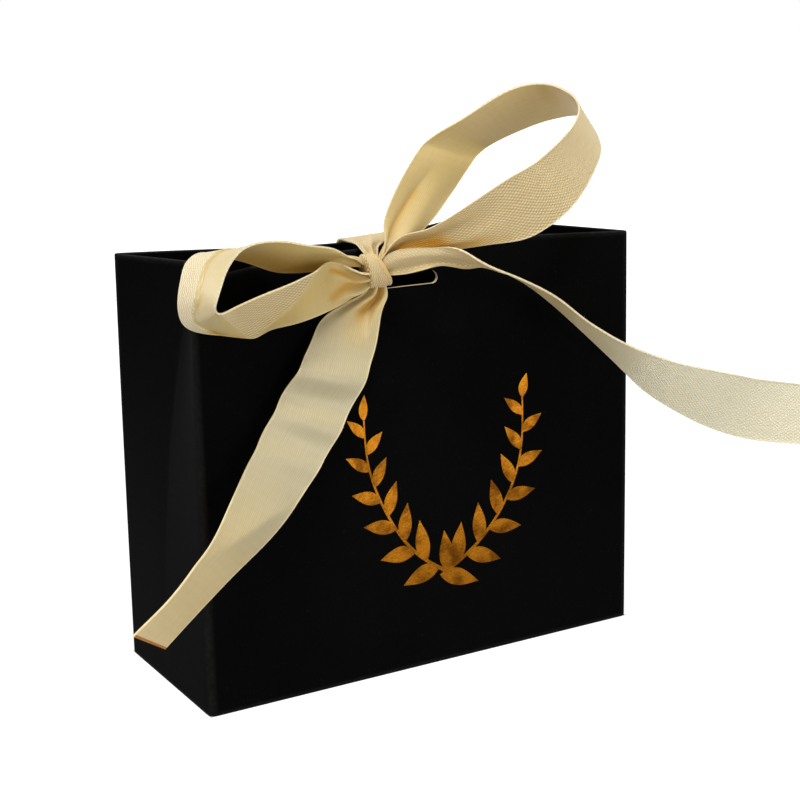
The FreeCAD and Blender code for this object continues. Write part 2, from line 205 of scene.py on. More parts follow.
class Shader:
    """A short way to add and link the nodes of one material or node group."""

    def __init__(self, tree: bpy.types.NodeTree) -> None:
        """Holds the tree that is built."""
        self.tree = tree

    def node(self, kind: str, **settings: object) -> bpy.types.Node:
        """Adds a node.

        Args:
            kind: The node's type name.
            settings: Properties to set on it.

        Returns:
            The node.
        """
        made = self.tree.nodes.new(kind)
        for name, value in settings.items():
            setattr(made, name, value)
        return made

    def feed(self, socket: bpy.types.NodeSocket, value: object) -> None:
        """Links an output to a socket, or sets the socket's own value.

        Args:
            socket: The socket that is fed.
            value: An output, a number, a vector or a colour.
        """
        if isinstance(value, bpy.types.NodeSocket):
            self.tree.links.new(value, socket)
        elif isinstance(value, tuple) and len(value) == 3 and socket.type == "RGBA":
            socket.default_value = (*value, 1.0)
        else:
            socket.default_value = value

    def math(self, operation: str, *values: object) -> bpy.types.NodeSocket:
        """Adds a Math node.

        Args:
            operation: The node's operation.
            values: Its inputs, numbers or sockets.

        Returns:
            Its output.
        """
        made = self.node("ShaderNodeMath", operation=operation)
        for index, value in enumerate(values):
            self.feed(made.inputs[index], value)
        return made.outputs[0]

    def vector(self, operation: str, first: object, second: object) -> bpy.types.NodeSocket:
        """Adds a Vector Math node of two vectors, or of a vector and a scale.

        Args:
            operation: The node's operation.
            first: The first vector.
            second: The second vector, or the scale.

        Returns:
            Its output.
        """
        made = self.node("ShaderNodeVectorMath", operation=operation)
        self.feed(made.inputs[0], first)
        self.feed(made.inputs["Scale"] if operation == "SCALE" else made.inputs[1], second)
        return made.outputs[0]

    def noise(self, vector: object, scale: object, detail: float = 2.0) -> bpy.types.NodeSocket:
        """Adds a Noise Texture.

        Args:
            vector: Where it is read.
            scale: How fine it is.
            detail: How many finer layers it has.

        Returns:
            Its value.
        """
        made = self.node("ShaderNodeTexNoise")
        self.feed(made.inputs["Vector"], vector)
        self.feed(made.inputs["Scale"], scale)
        made.inputs["Detail"].default_value = detail
        return made.outputs[0]

    def ramp(self, value: object, low: object, high: object) -> bpy.types.NodeSocket:
        """Maps low to high onto 0 to 1, smoothly and clamped.

        Args:
            value: What is mapped.
            low: The value that becomes 0.
            high: The value that becomes 1.

        Returns:
            The mapped value.
        """
        made = self.node("ShaderNodeMapRange", interpolation_type="SMOOTHSTEP")
        self.feed(made.inputs["Value"], value)
        self.feed(made.inputs["From Min"], low)
        self.feed(made.inputs["From Max"], high)
        return made.outputs["Result"]

    def mix(
        self, share: object, first: object, second: object, way: str = "MIX"
    ) -> bpy.types.NodeSocket:
        """Mixes two colours, or multiplies the first by the second.

        Args:
            share: How much of the second colour there is.
            first: The first colour.
            second: The second colour.
            way: The node's blend type.

        Returns:
            The mixed colour.
        """
        made = self.node("ShaderNodeMix", data_type="RGBA", blend_type=way)
        # The node has sockets for every kind of data, and only those for colours are used.
        colours = [socket for socket in made.inputs if socket.type == "RGBA"]
        self.feed(made.inputs["Factor"], share)
        self.feed(colours[0], first)
        self.feed(colours[1], second)
        return next(socket for socket in made.outputs if socket.type == "RGBA")

    def bump(self, height: object, strength: float, distance: float) -> bpy.types.NodeSocket:
        """Adds a Bump node.

        Args:
            height: The height that it reads.
            strength: How strong it is.
            distance: How high the height is, in metres.

        Returns:
            Its normal.
        """
        made = self.node("ShaderNodeBump")
        made.inputs["Strength"].default_value = strength
        made.inputs["Distance"].default_value = distance
        self.feed(made.inputs["Height"], height)
        return made.outputs["Normal"]

    def own(self, name: str) -> bpy.types.NodeSocket:
        """Reads one of the piece's own values."""
        return self.node("ShaderNodeAttribute", attribute_name=name).outputs["Fac"]

    def spread(self, value: object, middle: float, reach: float) -> bpy.types.NodeSocket:
        """Spreads a value from 0 to 1 evenly about a middle."""
        return self.math("MULTIPLY_ADD", value, reach, middle - reach / 2)

    def use(self, group: bpy.types.NodeTree, **values: object) -> bpy.types.Node:
        """Places a node group.

        Args:
            group: The group's tree.
            values: Its inputs by name.

        Returns:
            The group node.
        """
        made = self.node("ShaderNodeGroup")
        made.node_tree = group
        for name, value in values.items():
            self.feed(made.inputs[name], value)
        return made


class Effects:
    """The shader node groups that the finishes share."""

    fibre_stretch: Point = (1.0, 1.0, 0.35)
    fibre_fineness: float = 1.7
    fibre_edge: float = 0.78
    fibre_range: float = 0.2
    fibre_softness: float = 0.08
    fibre_height: float = 0.3
    cloud_fineness: float = 0.03
    # The noise that breaks up the paler folds of the card, which are partly scuffs and partly painted
    # highlight on the creases.
    scuff_and_highlight_fineness: float = 900.0
    scuff_and_highlight_breaks: Flat = (0.1, 0.9)
    scuff_and_highlight_base: float = 0.6
    wobble_fineness: float = 0.4
    wobble: float = 0.3
    rib_edges: Flat = (0.25, 0.9)
    thread_stretch: Point = (4.5, 0.15, 1.0)
    selvedge_softness: float = 0.15
    selvedge_loops: float = 9.0
    loop_depth: float = 0.25

    def __init__(self) -> None:
        """Builds each group once."""
        self.grain = self.build_grain()
        self.scuff_and_highlight = self.build_scuff_and_highlight()
        self.weave = self.build_weave()
        self.selvedge = self.build_selvedge()

    @staticmethod
    def start(
        name: str, values: list[str], outputs: list[str]
    ) -> tuple[Shader, bpy.types.Node, bpy.types.Node]:
        """Makes an empty group that reads a place.

        Args:
            name: The group's name.
            values: Name of each number that it takes beside the place.
            outputs: Name of each value that it gives.

        Returns:
            The builder, the group's input node and its output node.
        """
        tree = bpy.data.node_groups.new(name, "ShaderNodeTree")
        tree.interface.new_socket("Vector", in_out="INPUT", socket_type="NodeSocketVector")
        for label in values:
            tree.interface.new_socket(label, in_out="INPUT", socket_type="NodeSocketFloat")
        for label in outputs:
            tree.interface.new_socket(label, in_out="OUTPUT", socket_type="NodeSocketFloat")
        shader = Shader(tree)
        return shader, shader.node("NodeGroupInput"), shader.node("NodeGroupOutput")

    def build_grain(self) -> bpy.types.NodeTree:
        """Paper or foil grain: tiny light fibres and a fine uneven height.

        Returns:
            The group's tree.
        """
        shader, given, result = self.start(
            "Fine grain", ["Scale", "Fibres"], ["Fibre", "Height", "Cloud"]
        )
        place, scale = given.outputs["Vector"], given.outputs["Scale"]
        fine = shader.noise(place, scale, 4.0)
        stretched = shader.vector("MULTIPLY", place, self.fibre_stretch)
        fibre = shader.noise(stretched, shader.math("MULTIPLY", scale, self.fibre_fineness), 1.0)
        cloud = shader.noise(place, shader.math("MULTIPLY", scale, self.cloud_fineness), 2.0)
        many = shader.math("MULTIPLY", given.outputs["Fibres"], self.fibre_range)
        edge = shader.math("SUBTRACT", self.fibre_edge, many)
        mask = shader.ramp(fibre, edge, shader.math("ADD", edge, self.fibre_softness))
        shader.feed(result.inputs["Fibre"], mask)
        height = shader.math("ADD", fine, shader.math("MULTIPLY", mask, self.fibre_height))
        shader.feed(result.inputs["Height"], height)
        shader.feed(result.inputs["Cloud"], cloud)
        return shader.tree

    def build_scuff_and_highlight(self) -> bpy.types.NodeTree:
        """Paler folds, partly scuffs and partly painted highlight: the piece's own value, broken up by
        noise.

        Returns:
            The group's tree.
        """
        shader, given, result = self.start("Scuffed_and_highlit edge", ["Worn", "Strength"], ["Mask"])
        patches = shader.noise(given.outputs["Vector"], self.scuff_and_highlight_fineness, 4.0)
        breaks = shader.ramp(patches, *self.scuff_and_highlight_breaks)
        broken = shader.math("MULTIPLY", given.outputs["Worn"], breaks)
        soft = shader.math("MULTIPLY", given.outputs["Worn"], self.scuff_and_highlight_base)
        mask = shader.math("MULTIPLY", shader.math("ADD", broken, soft), given.outputs["Strength"])
        shader.feed(result.inputs["Mask"], shader.math("MINIMUM", mask, 1.0))
        return shader.tree

    def build_weave(self) -> bpy.types.NodeTree:
        """Ribbon cloth on the flat ribbon: rows of small floats and lengthwise threads.

        Returns:
            The group's tree.
        """
        shader, given, result = self.start("Ribbon weave", ["Pitch", "Stretch"], ["Rib", "Thread"])
        split = shader.node("ShaderNodeSeparateXYZ")
        shader.feed(split.inputs[0], given.outputs["Vector"])
        wobble = shader.noise(given.outputs["Vector"], self.wobble_fineness, 1.0)
        wobble = shader.math("MULTIPLY", wobble, self.wobble)
        long_pitch = shader.math("MULTIPLY", given.outputs["Pitch"], given.outputs["Stretch"])
        waves = []
        for output, pitch in zip(split.outputs[:2], (given.outputs["Pitch"], long_pitch)):
            turns = shader.math("ADD", shader.math("DIVIDE", output, pitch), wobble)
            waves.append(shader.math("SINE", shader.math("MULTIPLY", turns, 2 * math.pi)))
        both = shader.math("MULTIPLY_ADD", shader.math("MULTIPLY", waves[0], waves[1]), 0.5, 0.5)
        rib = shader.ramp(both, *self.rib_edges)
        long_threads = shader.vector("MULTIPLY", given.outputs["Vector"], self.thread_stretch)
        thread = shader.noise(long_threads, 1.0, 1.0)
        shader.feed(result.inputs["Rib"], rib)
        shader.feed(result.inputs["Thread"], thread)
        return shader.tree

    def build_selvedge(self) -> bpy.types.NodeTree:
        """The firmer woven edge down both sides of a ribbon, in millimetres of the flat ribbon.

        Returns:
            The group's tree.
        """
        shader, given, result = self.start("Woven edge", ["Half", "Edge"], ["Mask", "Height"])
        split = shader.node("ShaderNodeSeparateXYZ")
        shader.feed(split.inputs[0], given.outputs["Vector"])
        out = shader.math("ABSOLUTE", split.outputs[0])
        start = shader.math("SUBTRACT", given.outputs["Half"], given.outputs["Edge"])
        mask = shader.ramp(out, start, shader.math("ADD", start, self.selvedge_softness))
        loops = shader.math("SINE", shader.math("MULTIPLY", split.outputs[1], self.selvedge_loops))
        loops = shader.math("MULTIPLY_ADD", loops, self.loop_depth, 1.0 - self.loop_depth)
        shader.feed(result.inputs["Mask"], mask)
        shader.feed(result.inputs["Height"], shader.math("MULTIPLY", mask, loops))
        return shader.tree


def blank_material(name: str) -> tuple[Shader, bpy.types.Node, bpy.types.Material]:
    """Starts a material.

    Args:
        name: The material's name.

    Returns:
        The builder, the Principled node and the material.
    """
    material = bpy.data.materials.new(name)
    material.use_nodes = True
    surface = material.node_tree.nodes["Principled BSDF"]
    return Shader(material.node_tree), surface, material


@dataclass(frozen=True)
class CardFinish:
    """Matte black card: dark fibres, and folds that are paler, partly from scuffs and partly as painted
    highlight.
    """

    name: str = "black card"
    black: Colour = linear(6, 6, 6)
    cloud: Colour = linear(9, 9, 9)
    fibre: Colour = linear(32, 32, 32)
    # Paler grey for the folds: partly scuffs, partly a painted highlight where the creases catch the
    # light.
    scuff_and_highlight_grey: Colour = linear(54, 54, 53)
    grain: float = 2600.0
    fibres: float = 0.35
    fibre_share: float = 0.7
    scuff_and_highlight: float = 0.5
    roughness: float = 0.72
    roughness_reach: float = 0.2
    gloss: float = 0.01
    bump: float = 0.35
    bump_depth: float = 0.00012

    def build(self, effects: Effects) -> bpy.types.Material:
        """Builds the material.

        Args:
            effects: The shared node groups.

        Returns:
            The material.
        """
        shader, surface, material = blank_material(self.name)
        place = shader.node("ShaderNodeTexCoord").outputs["Object"]
        grain = shader.use(effects.grain, Vector=place, Scale=self.grain, Fibres=self.fibres)
        height = grain.outputs["Height"]
        scuff_and_highlight = shader.use(effects.scuff_and_highlight, Vector=place, Worn=shader.own("scuff_and_highlight"), Strength=self.scuff_and_highlight)
        base = shader.mix(grain.outputs["Cloud"], self.black, self.cloud)
        fibre_share = shader.math("MULTIPLY", grain.outputs["Fibre"], self.fibre_share)
        base = shader.mix(fibre_share, base, self.fibre)
        # Painted highlight on the creases and folds, together with real scuffs.
        base = shader.mix(scuff_and_highlight.outputs["Mask"], base, self.scuff_and_highlight_grey)
        shader.feed(surface.inputs["Base Color"], base)
        roughness = shader.spread(height, self.roughness, self.roughness_reach)
        shader.feed(surface.inputs["Roughness"], roughness)
        surface.inputs["Specular IOR Level"].default_value = self.gloss
        shader.feed(surface.inputs["Normal"], shader.bump(height, self.bump, self.bump_depth))
        return material


@dataclass(frozen=True)
class RawEdgeFinish:
    """The pale core of the card, seen where a slot is cut."""

    name: str = "cut card edge"
    pulp: Colour = linear(226, 208, 170)
    dark: Colour = linear(150, 132, 98)
    grain: float = 3200.0
    fibres: float = 0.6
    roughness: float = 0.9
    bump: float = 0.5
    bump_depth: float = 0.0001

    def build(self, effects: Effects) -> bpy.types.Material:
        """Builds the material.

        Args:
            effects: The shared node groups.

        Returns:
            The material.
        """
        shader, surface, material = blank_material(self.name)
        place = shader.node("ShaderNodeTexCoord").outputs["Object"]
        grain = shader.use(effects.grain, Vector=place, Scale=self.grain, Fibres=self.fibres)
        height = grain.outputs["Height"]
        shader.feed(surface.inputs["Base Color"], shader.mix(height, self.dark, self.pulp))
        surface.inputs["Roughness"].default_value = self.roughness
        shader.feed(surface.inputs["Normal"], shader.bump(height, self.bump, self.bump_depth))
        return material


@dataclass(frozen=True)
class FoilFinish:
    """Hot-stamped gold foil, pressed a little unevenly into the card."""

    name: str = "gold foil"
    gold: Colour = linear(134, 83, 16)
    deep: Colour = linear(78, 44, 6)
    grain: float = 1500.0
    fibres: float = 0.2
    blotches: float = 220.0
    blotch_edges: Flat = (0.35, 0.7)
    roughness: float = 0.29
    roughness_reach: float = 0.22
    bump: float = 0.3
    bump_depth: float = 0.0002

    def build(self, effects: Effects) -> bpy.types.Material:
        """Builds the material.

        Args:
            effects: The shared node groups.

        Returns:
            The material.
        """
        shader, surface, material = blank_material(self.name)
        place = shader.node("ShaderNodeTexCoord").outputs["Object"]
        grain = shader.use(effects.grain, Vector=place, Scale=self.grain, Fibres=self.fibres)
        height = grain.outputs["Height"]
        blotch = shader.ramp(shader.noise(place, self.blotches, 3.0), *self.blotch_edges)
        shader.feed(surface.inputs["Base Color"], shader.mix(blotch, self.gold, self.deep))
        surface.inputs["Metallic"].default_value = 1.0
        roughness = shader.spread(height, self.roughness, self.roughness_reach)
        shader.feed(surface.inputs["Roughness"], roughness)
        shader.feed(surface.inputs["Normal"], shader.bump(height, self.bump, self.bump_depth))
        return material


@dataclass(frozen=True)
class RibbonFinish:
    """One face of the satin ribbon, with what the piece says of paler places, partly painted sheen, of
    smoother places and of painted shade in its folds.
    """

    name: str
    light: Colour
    deep: Colour
    edge: Colour
    # A paler, creamier colour that the piece mixes in: partly a cooler tone of the cloth, partly
    # painted sheen where the ribbon turns towards the lamps.
    pale: Colour
    pale_deep: Colour
    pitch: float
    stretch: float
    contrast: float
    roughness: float
    bump: float
    gloss: float
    sheen: float
    # Painted shade: where the piece says, the colour is multiplied by these warm tints, standing in for
    # shade in folds and under other ribbon, and for the warm light bounced between the ribbon's faces.
    painted_shade_tint: Colour = (0.95, 0.8, 0.35)
    painted_deep_shade_tint: Colour = (0.92, 0.66, 0.22)
    edge_width: float = 0.4
    edge_share: float = 0.5
    roughness_reach: float = 0.14
    thread_height: float = 0.4
    bump_depth: float = 0.00012
    glow: float = 0.3
    glow_radius: Point = (1.0, 0.9, 0.7)
    glow_reach: float = 0.0012
    sheen_tint: Colour = linear(255, 226, 170)
    sheen_roughness: float = 0.35

    def build(self, effects: Effects) -> bpy.types.Material:
        """Builds the material.

        Args:
            effects: The shared node groups.

        Returns:
            The material.
        """
        shader, surface, material = blank_material(self.name)
        own_map = shader.node("ShaderNodeUVMap", uv_map="ribbon").outputs[0]
        place = shader.vector("SCALE", own_map, MM_PER_MAP)
        weave = shader.use(effects.weave, Vector=place, Pitch=self.pitch, Stretch=self.stretch)
        thread = weave.outputs["Thread"]
        woven = shader.use(effects.selvedge, Vector=place, Half=RIBBON_HALF, Edge=self.edge_width)
        rough_share = shader.math("SUBTRACT", 1.0, shader.own("smooth"))
        rib = shader.math("SUBTRACT", weave.outputs["Rib"], 0.5)
        rib = shader.math("MULTIPLY_ADD", rib, rough_share, 0.5)
        tone = shader.math("MULTIPLY", rib, self.contrast)
        tone = shader.math("MULTIPLY_ADD", thread, 1.0 - self.contrast, tone)
        base = shader.mix(tone, self.deep, self.light)
        # The paler colour, partly a cooler tone and partly painted sheen, mixed in where the piece
        # says.
        pale = shader.mix(tone, self.pale_deep, self.pale)
        base = shader.mix(shader.own("pale"), base, pale)
        edge_share = shader.math("MULTIPLY", woven.outputs["Mask"], self.edge_share)
        base = shader.mix(edge_share, base, self.edge)
        # Painted shade: the colour turns darker and warmer where the piece's value says, and more so
        # where that value is highest.
        painted_shade_share = shader.own("painted_shade")
        base = shader.mix(painted_shade_share, base, self.painted_shade_tint, "MULTIPLY")
        base = shader.mix(shader.math("MULTIPLY", painted_shade_share, painted_shade_share), base, self.painted_deep_shade_tint, "MULTIPLY")
        shader.feed(surface.inputs["Base Color"], base)
        roughness = shader.spread(thread, self.roughness, self.roughness_reach)
        shader.feed(surface.inputs["Roughness"], roughness)
        surface.inputs["Specular IOR Level"].default_value = self.gloss
        surface.inputs["Subsurface Weight"].default_value = self.glow
        surface.inputs["Subsurface Radius"].default_value = self.glow_radius
        surface.inputs["Subsurface Scale"].default_value = self.glow_reach
        surface.inputs["Sheen Weight"].default_value = self.sheen
        surface.inputs["Sheen Roughness"].default_value = self.sheen_roughness
        surface.inputs["Sheen Tint"].default_value = (*self.sheen_tint, 1.0)
        cloth = shader.math("MULTIPLY_ADD", thread, self.thread_height, rib)
        height = shader.math("ADD", cloth, woven.outputs["Height"])
        shader.feed(surface.inputs["Normal"], shader.bump(height, self.bump, self.bump_depth))
        return material


SATIN = RibbonFinish(
    "ribbon satin face",
    light=linear(232, 208, 148), deep=linear(202, 173, 110), edge=linear(240, 218, 166),
    pale=linear(204, 193, 158), pale_deep=linear(174, 161, 124),
    pitch=0.5, stretch=9.0, contrast=0.4, roughness=0.4, bump=0.2, gloss=0.55, sheen=0.1,
)
TWILL = RibbonFinish(
    "ribbon twill face",
    light=linear(246, 228, 184), deep=linear(184, 152, 96), edge=linear(242, 226, 186),
    pale=linear(255, 251, 231), pale_deep=linear(238, 219, 172),
    pitch=0.85, stretch=1.6, contrast=0.68, roughness=0.54, bump=0.9, gloss=0.3, sheen=0.12,
)
CUT_END = RibbonFinish(
    "ribbon cut end",
    light=linear(190, 124, 42), deep=linear(146, 86, 20), edge=linear(190, 124, 42),
    pale=linear(190, 124, 42), pale_deep=linear(146, 86, 20),
    pitch=0.45, stretch=1.6, contrast=0.3, roughness=0.6, bump=0.3, gloss=0.3, sheen=0.0,
)


@dataclass
class Finishes:
    """Every material of the object, built once."""

    card: bpy.types.Material
    raw_edge: bpy.types.Material
    foil: bpy.types.Material
    satin: bpy.types.Material
    twill: bpy.types.Material
    cut_end: bpy.types.Material

    @classmethod
    def build(cls) -> "Finishes":
        """Builds the shared groups and then the materials.

        Returns:
            The materials.
        """
        effects = Effects()
        return cls(
            CardFinish().build(effects),
            RawEdgeFinish().build(effects),
            FoilFinish().build(effects),
            SATIN.build(effects),
            TWILL.build(effects),
            CUT_END.build(effects),
        )


@dataclass(frozen=True)
class CardForm:
    """The shape that the walls of the box follow, in millimetres."""

    width: float = 115.0
    depth: float = 46.0
    height: float = 98.0
    mouth_depth: float = 44.6
    slot_drop: float = 8.0
    front_pull: float = 16.0
    back_pull: float = 18.0
    gusset_fold: float = 11.5
    crease_radius: float = 1.0
    crease_round: float = 0.6
    pull_power: float = 1.7
    fold_power: float = 2.2
    front_bow: SmoothLine = SmoothLine(
        [(-1, 0), (-0.64, 0.66), (-0.1, 1), (0.28, 0.88), (0.64, 0.5), (1, 0)]
    )
    back_bow: SmoothLine = SmoothLine(
        [(-1, 0), (-0.65, 0.44), (-0.12, 1), (0.14, 0.85), (0.42, 0.45), (0.62, 0.2), (1, 0)]
    )

    def half_depth(self, z: float) -> float:
        """From the middle plane to the corner crease at a height."""
        return (self.depth - (self.depth - self.mouth_depth) * z / self.height) / 2

    def face_y(self, side: Side, x: float, z: float) -> float:
        """Y of a long wall's outer face.

        Args:
            side: Which wall.
            x: Place along it.
            z: Height.

        Returns:
            The y of the face.
        """
        bow = self.front_bow if side is Side.FRONT else self.back_bow
        pull = self.front_pull if side is Side.FRONT else self.back_pull
        reach = bow.at(x / (self.width / 2 - self.crease_radius))
        rise = (max(z, 0) / self.height) ** self.pull_power
        return side.value * (self.half_depth(z) - pull * reach * rise)

    def gusset_x(self, hand: int, y: float, z: float) -> float:
        """X of a short side's outer face, which folds in along its middle.

        Args:
            hand: -1 on the left, 1 on the right.
            y: Place across the side.
            z: Height.

        Returns:
            The x of the face.
        """
        fold = self.gusset_fold * (max(z, 0) / self.height) ** self.fold_power
        soft = self.crease_round
        rise = math.hypot(y, soft) - soft
        full = math.hypot(self.half_depth(z), soft) - soft
        return hand * (self.width / 2 - fold * (1 - rise / full))


@dataclass
class FoldedCard:
    """The tube of card: two bowed walls and two gussets, each with its top turned in."""

    finishes: Finishes
    form: CardForm = field(default_factory=CardForm)
    board: float = 0.5
    fold_radius: float = 0.45
    hem: float = 20.0
    corner_run: float = 2.2
    # Paler card round each corner crease, partly scuffs and partly a painted highlight down the rounded
    # corner.
    corner_scuff_and_highlight: float = 0.4
    corner_steps: int = 8
    wall_steps: int = 84
    half_steps: int = 16
    # Paler card along each gusset's middle crease, partly scuffs and partly painted highlight.
    crease_scuff_and_highlight: float = 0.12
    crease_scuff_and_highlight_width: float = 0.7
    crease_crowding: float = 1.8
    tip_reach: float = 6.0
    tip_least_angle: float = 0.3
    tip_share: float = 0.4
    tip_room: float = 0.5
    tip_least: float = 0.2
    scuff_and_highlight_depth: float = 0.3
    slot_length: float = 22.0
    slot_height: float = 3.0
    slot_step_degrees: int = 15
    cutter_start: float = 1.0
    sharp_degrees: float = 50.0

    def profile(self) -> list[tuple[float, float, float]]:
        """The closed outline of a wall's thickness.

        Returns:
            Rows of height, inset from the outer face, and how pale the card is there, partly from
            scuffs and partly as painted highlight on its edges and folds.
        """
        top = self.form.height
        radius = self.fold_radius
        rows = [(0.0, 0.2, 0.8), (0.12, 0.06, 0.9), (0.45, 0.0, 0.35), (1.2, 0.0, 0.0)]
        rows += [(float(z), 0.0, 0.0) for z in np.linspace(3.5, top - 2.5, 30)]
        # The round of the folded top edge is paler, partly scuffs and partly a painted highlight along
        # the fold.
        rows += [(top - 1.3, 0.0, 0.0), (top - radius, 0.0, 0.25)]
        for turn in np.linspace(0, math.pi, 9)[1:-1]:
            rise = math.sin(turn)
            rows.append((top - radius + radius * rise, radius * (1 - math.cos(turn)), rise))
        rows += [(float(z), 2 * radius, 0.0) for z in np.linspace(top - radius, top - self.hem, 8)]
        rows.append((top - self.hem, self.board + 0.06, 0.2))
        rows += [(float(z), self.board, 0.0) for z in np.linspace(top - self.hem - 0.1, 0.4, 14)]
        rows.append((0.0, self.board, 0.3))
        return rows

    def wall_plan(self, side: Side, z: float) -> Plan:
        """A long wall in plan at a height, from the left side face round to the right one.

        Args:
            side: Which wall.
            z: Height.

        Returns:
            The outer points, and how pale each is, partly from scuffs and partly as painted highlight
            round the corners.
        """
        form = self.form
        half = form.half_depth(z)
        bend_x = form.width / 2 - self.corner_run
        bend_y = side.value * (half - self.corner_run)
        shares = np.linspace(0, 1, self.corner_steps + 1)
        corners = []
        for hand in (-1, 1):
            start = np.array([form.gusset_x(hand, bend_y, z), bend_y])
            tip = np.array([hand * form.width / 2, side.value * half])
            end = np.array([hand * bend_x, form.face_y(side, hand * bend_x, z)])
            arc = []
            for share in shares:
                arc.append(start * (1 - share) ** 2 + tip * 2 * share * (1 - share) + end * share**2)
            corners.append(arc)
        places = np.linspace(-bend_x, bend_x, self.wall_steps)[1:-1]
        middle = [np.array([x, form.face_y(side, x, z)]) for x in places]
        # The corners are palest at the middle of their round: partly scuffs, partly a painted highlight
        # down the corner.
        plan_scuff_and_highlight = [self.corner_scuff_and_highlight * math.sin(math.pi * share) for share in shares]
        scuffed_and_lit = plan_scuff_and_highlight + [0.0] * len(middle) + plan_scuff_and_highlight
        return np.array(corners[0] + middle + corners[1][::-1]), np.array(scuffed_and_lit)

    def gusset_plan(self, hand: int, side: Side, z: float) -> Plan:
        """Half a gusset in plan at a height, from the corner to the middle crease.

        Args:
            hand: -1 on the left, 1 on the right.
            side: The end it belongs to.
            z: Height.

        Returns:
            The outer points, and how pale each is, partly from scuffs and partly as painted highlight
            along the middle crease.
        """
        start = side.value * (self.form.half_depth(z) - self.corner_run)
        points = []
        scuffed_and_lit = []
        for share in np.linspace(0, 1, self.half_steps):
            y = start * (1 - share) ** self.crease_crowding
            points.append((self.form.gusset_x(hand, y, z), y))
            # Paler along the middle crease, more so towards the top: partly scuffs, partly painted
            # highlight.
            near = math.exp(-((y / self.crease_scuff_and_highlight_width) ** 2))
            scuffed_and_lit.append(near * self.crease_scuff_and_highlight * z / self.form.height)
        return np.array(points), np.array(scuffed_and_lit)

    def tip_angle(self, side: Side, z: float) -> float:
        """Sine of the angle that the card makes at a corner at a height.

        Args:
            side: The end it belongs to.
            z: Height.

        Returns:
            The sine of the angle.
        """
        form = self.form
        reach = self.tip_reach
        x = form.width / 2 - reach
        wall = Vector((reach, abs(form.face_y(side, x, z) - side.value * form.half_depth(z))))
        y = form.half_depth(z) - reach
        gusset = Vector((form.width / 2 - abs(form.gusset_x(1, y, z)), reach))
        return math.sin(max(wall.angle(gusset), self.tip_least_angle))

    def wall_piece(self, name: str, plans: list[Plan], side: Side) -> bpy.types.Object:
        """Makes one wall from its plan at each row of the profile.

        Args:
            name: The piece's name.
            plans: Points and wear in plan, one pair per row of the profile.
            side: The end it belongs to.

        Returns:
            The closed piece.
        """
        rows = self.profile()
        points = []
        scuff_and_highlight = []
        count = len(plans[0][0])
        for (z, inset, scuffed_and_lit), (outer, plan_scuff_and_highlight) in zip(rows, plans):
            along = np.gradient(outer, axis=0)
            inward = np.stack([-along[:, 1], along[:, 0]], axis=1)
            inward /= np.linalg.norm(inward, axis=1)[:, None]
            if np.dot(inward[count // 2], -outer[count // 2]) < 0:
                inward = -inward
            steps = np.linalg.norm(np.diff(outer, axis=0), axis=1)
            run = np.concatenate([[0], np.cumsum(steps)])
            whole_wall = count > self.half_steps
            room = np.minimum(run, run[-1] - run) if whole_wall else run + self.corner_run
            # Near a corner the inset is cut back, so that the inner face does not cross the outer one.
            room = self.tip_share * (room + self.tip_room)
            limit = room * self.tip_angle(side, z) + self.tip_least
            depth = np.minimum(inset, limit)
            for index in range(count):
                x, y = outer[index] + inward[index] * depth[index]
                points.append((x, y, z))
                scuff_and_highlight.append(max(scuffed_and_lit, plan_scuff_and_highlight[index] if inset < self.scuff_and_highlight_depth else 0.0))
        faces = []
        levels = len(rows)
        for row in range(levels):
            here, after = row * count, (row + 1) % levels * count
            for index in range(count - 1):
                faces.append((here + index, here + index + 1, after + index + 1, after + index))
        faces.append(tuple(row * count for row in range(levels)))
        faces.append(tuple(row * count + count - 1 for row in reversed(range(levels))))
        piece = make_piece(name, np.array(points), faces, [self.finishes.card])
        # How pale the card is at each point: scuffs and painted highlights on its folds and edges.
        give_value(piece, "scuff_and_highlight", scuff_and_highlight)
        face_outwards(piece)
        return piece

    def cut_slot(self, piece: bpy.types.Object, side: Side) -> None:
        """Cuts the round-ended slot through a long wall, and leaves the cut face pale.

        Args:
            piece: The wall.
            side: Which wall it is.
        """
        level = self.form.height - self.form.slot_drop
        radius = self.slot_height / 2
        straight = self.slot_length / 2 - radius
        ring = []
        for centre, start in ((straight, -90), (-straight, 90)):
            for turn in range(0, 181, self.slot_step_degrees):
                angle = math.radians(start + turn)
                ring.append((centre + radius * math.cos(angle), level + radius * math.sin(angle)))
        near, far = side.value * self.cutter_start, side.value * self.form.depth
        points = [(x, near, z) for x, z in ring] + [(x, far, z) for x, z in ring]
        count = len(ring)
        faces = [(i, (i + 1) % count, count + (i + 1) % count, count + i) for i in range(count)]
        faces += [tuple(range(count)), tuple(range(2 * count - 1, count - 1, -1))]
        name = f"{piece.name}_slot_cutter"
        cutter = make_piece(name, np.array(points), faces, [self.finishes.raw_edge])
        face_outwards(cutter)
        cut = piece.modifiers.new("slot", "BOOLEAN")
        cut.operation = "DIFFERENCE"
        cut.solver = "EXACT"
        # The cutter hands its own material on to the faces that it cuts.
        cut.material_mode = "TRANSFER"
        cut.object = cutter
        finished = evaluated_mesh(piece)
        piece.modifiers.remove(cut)
        piece.data = finished
        bpy.data.objects.remove(cutter)

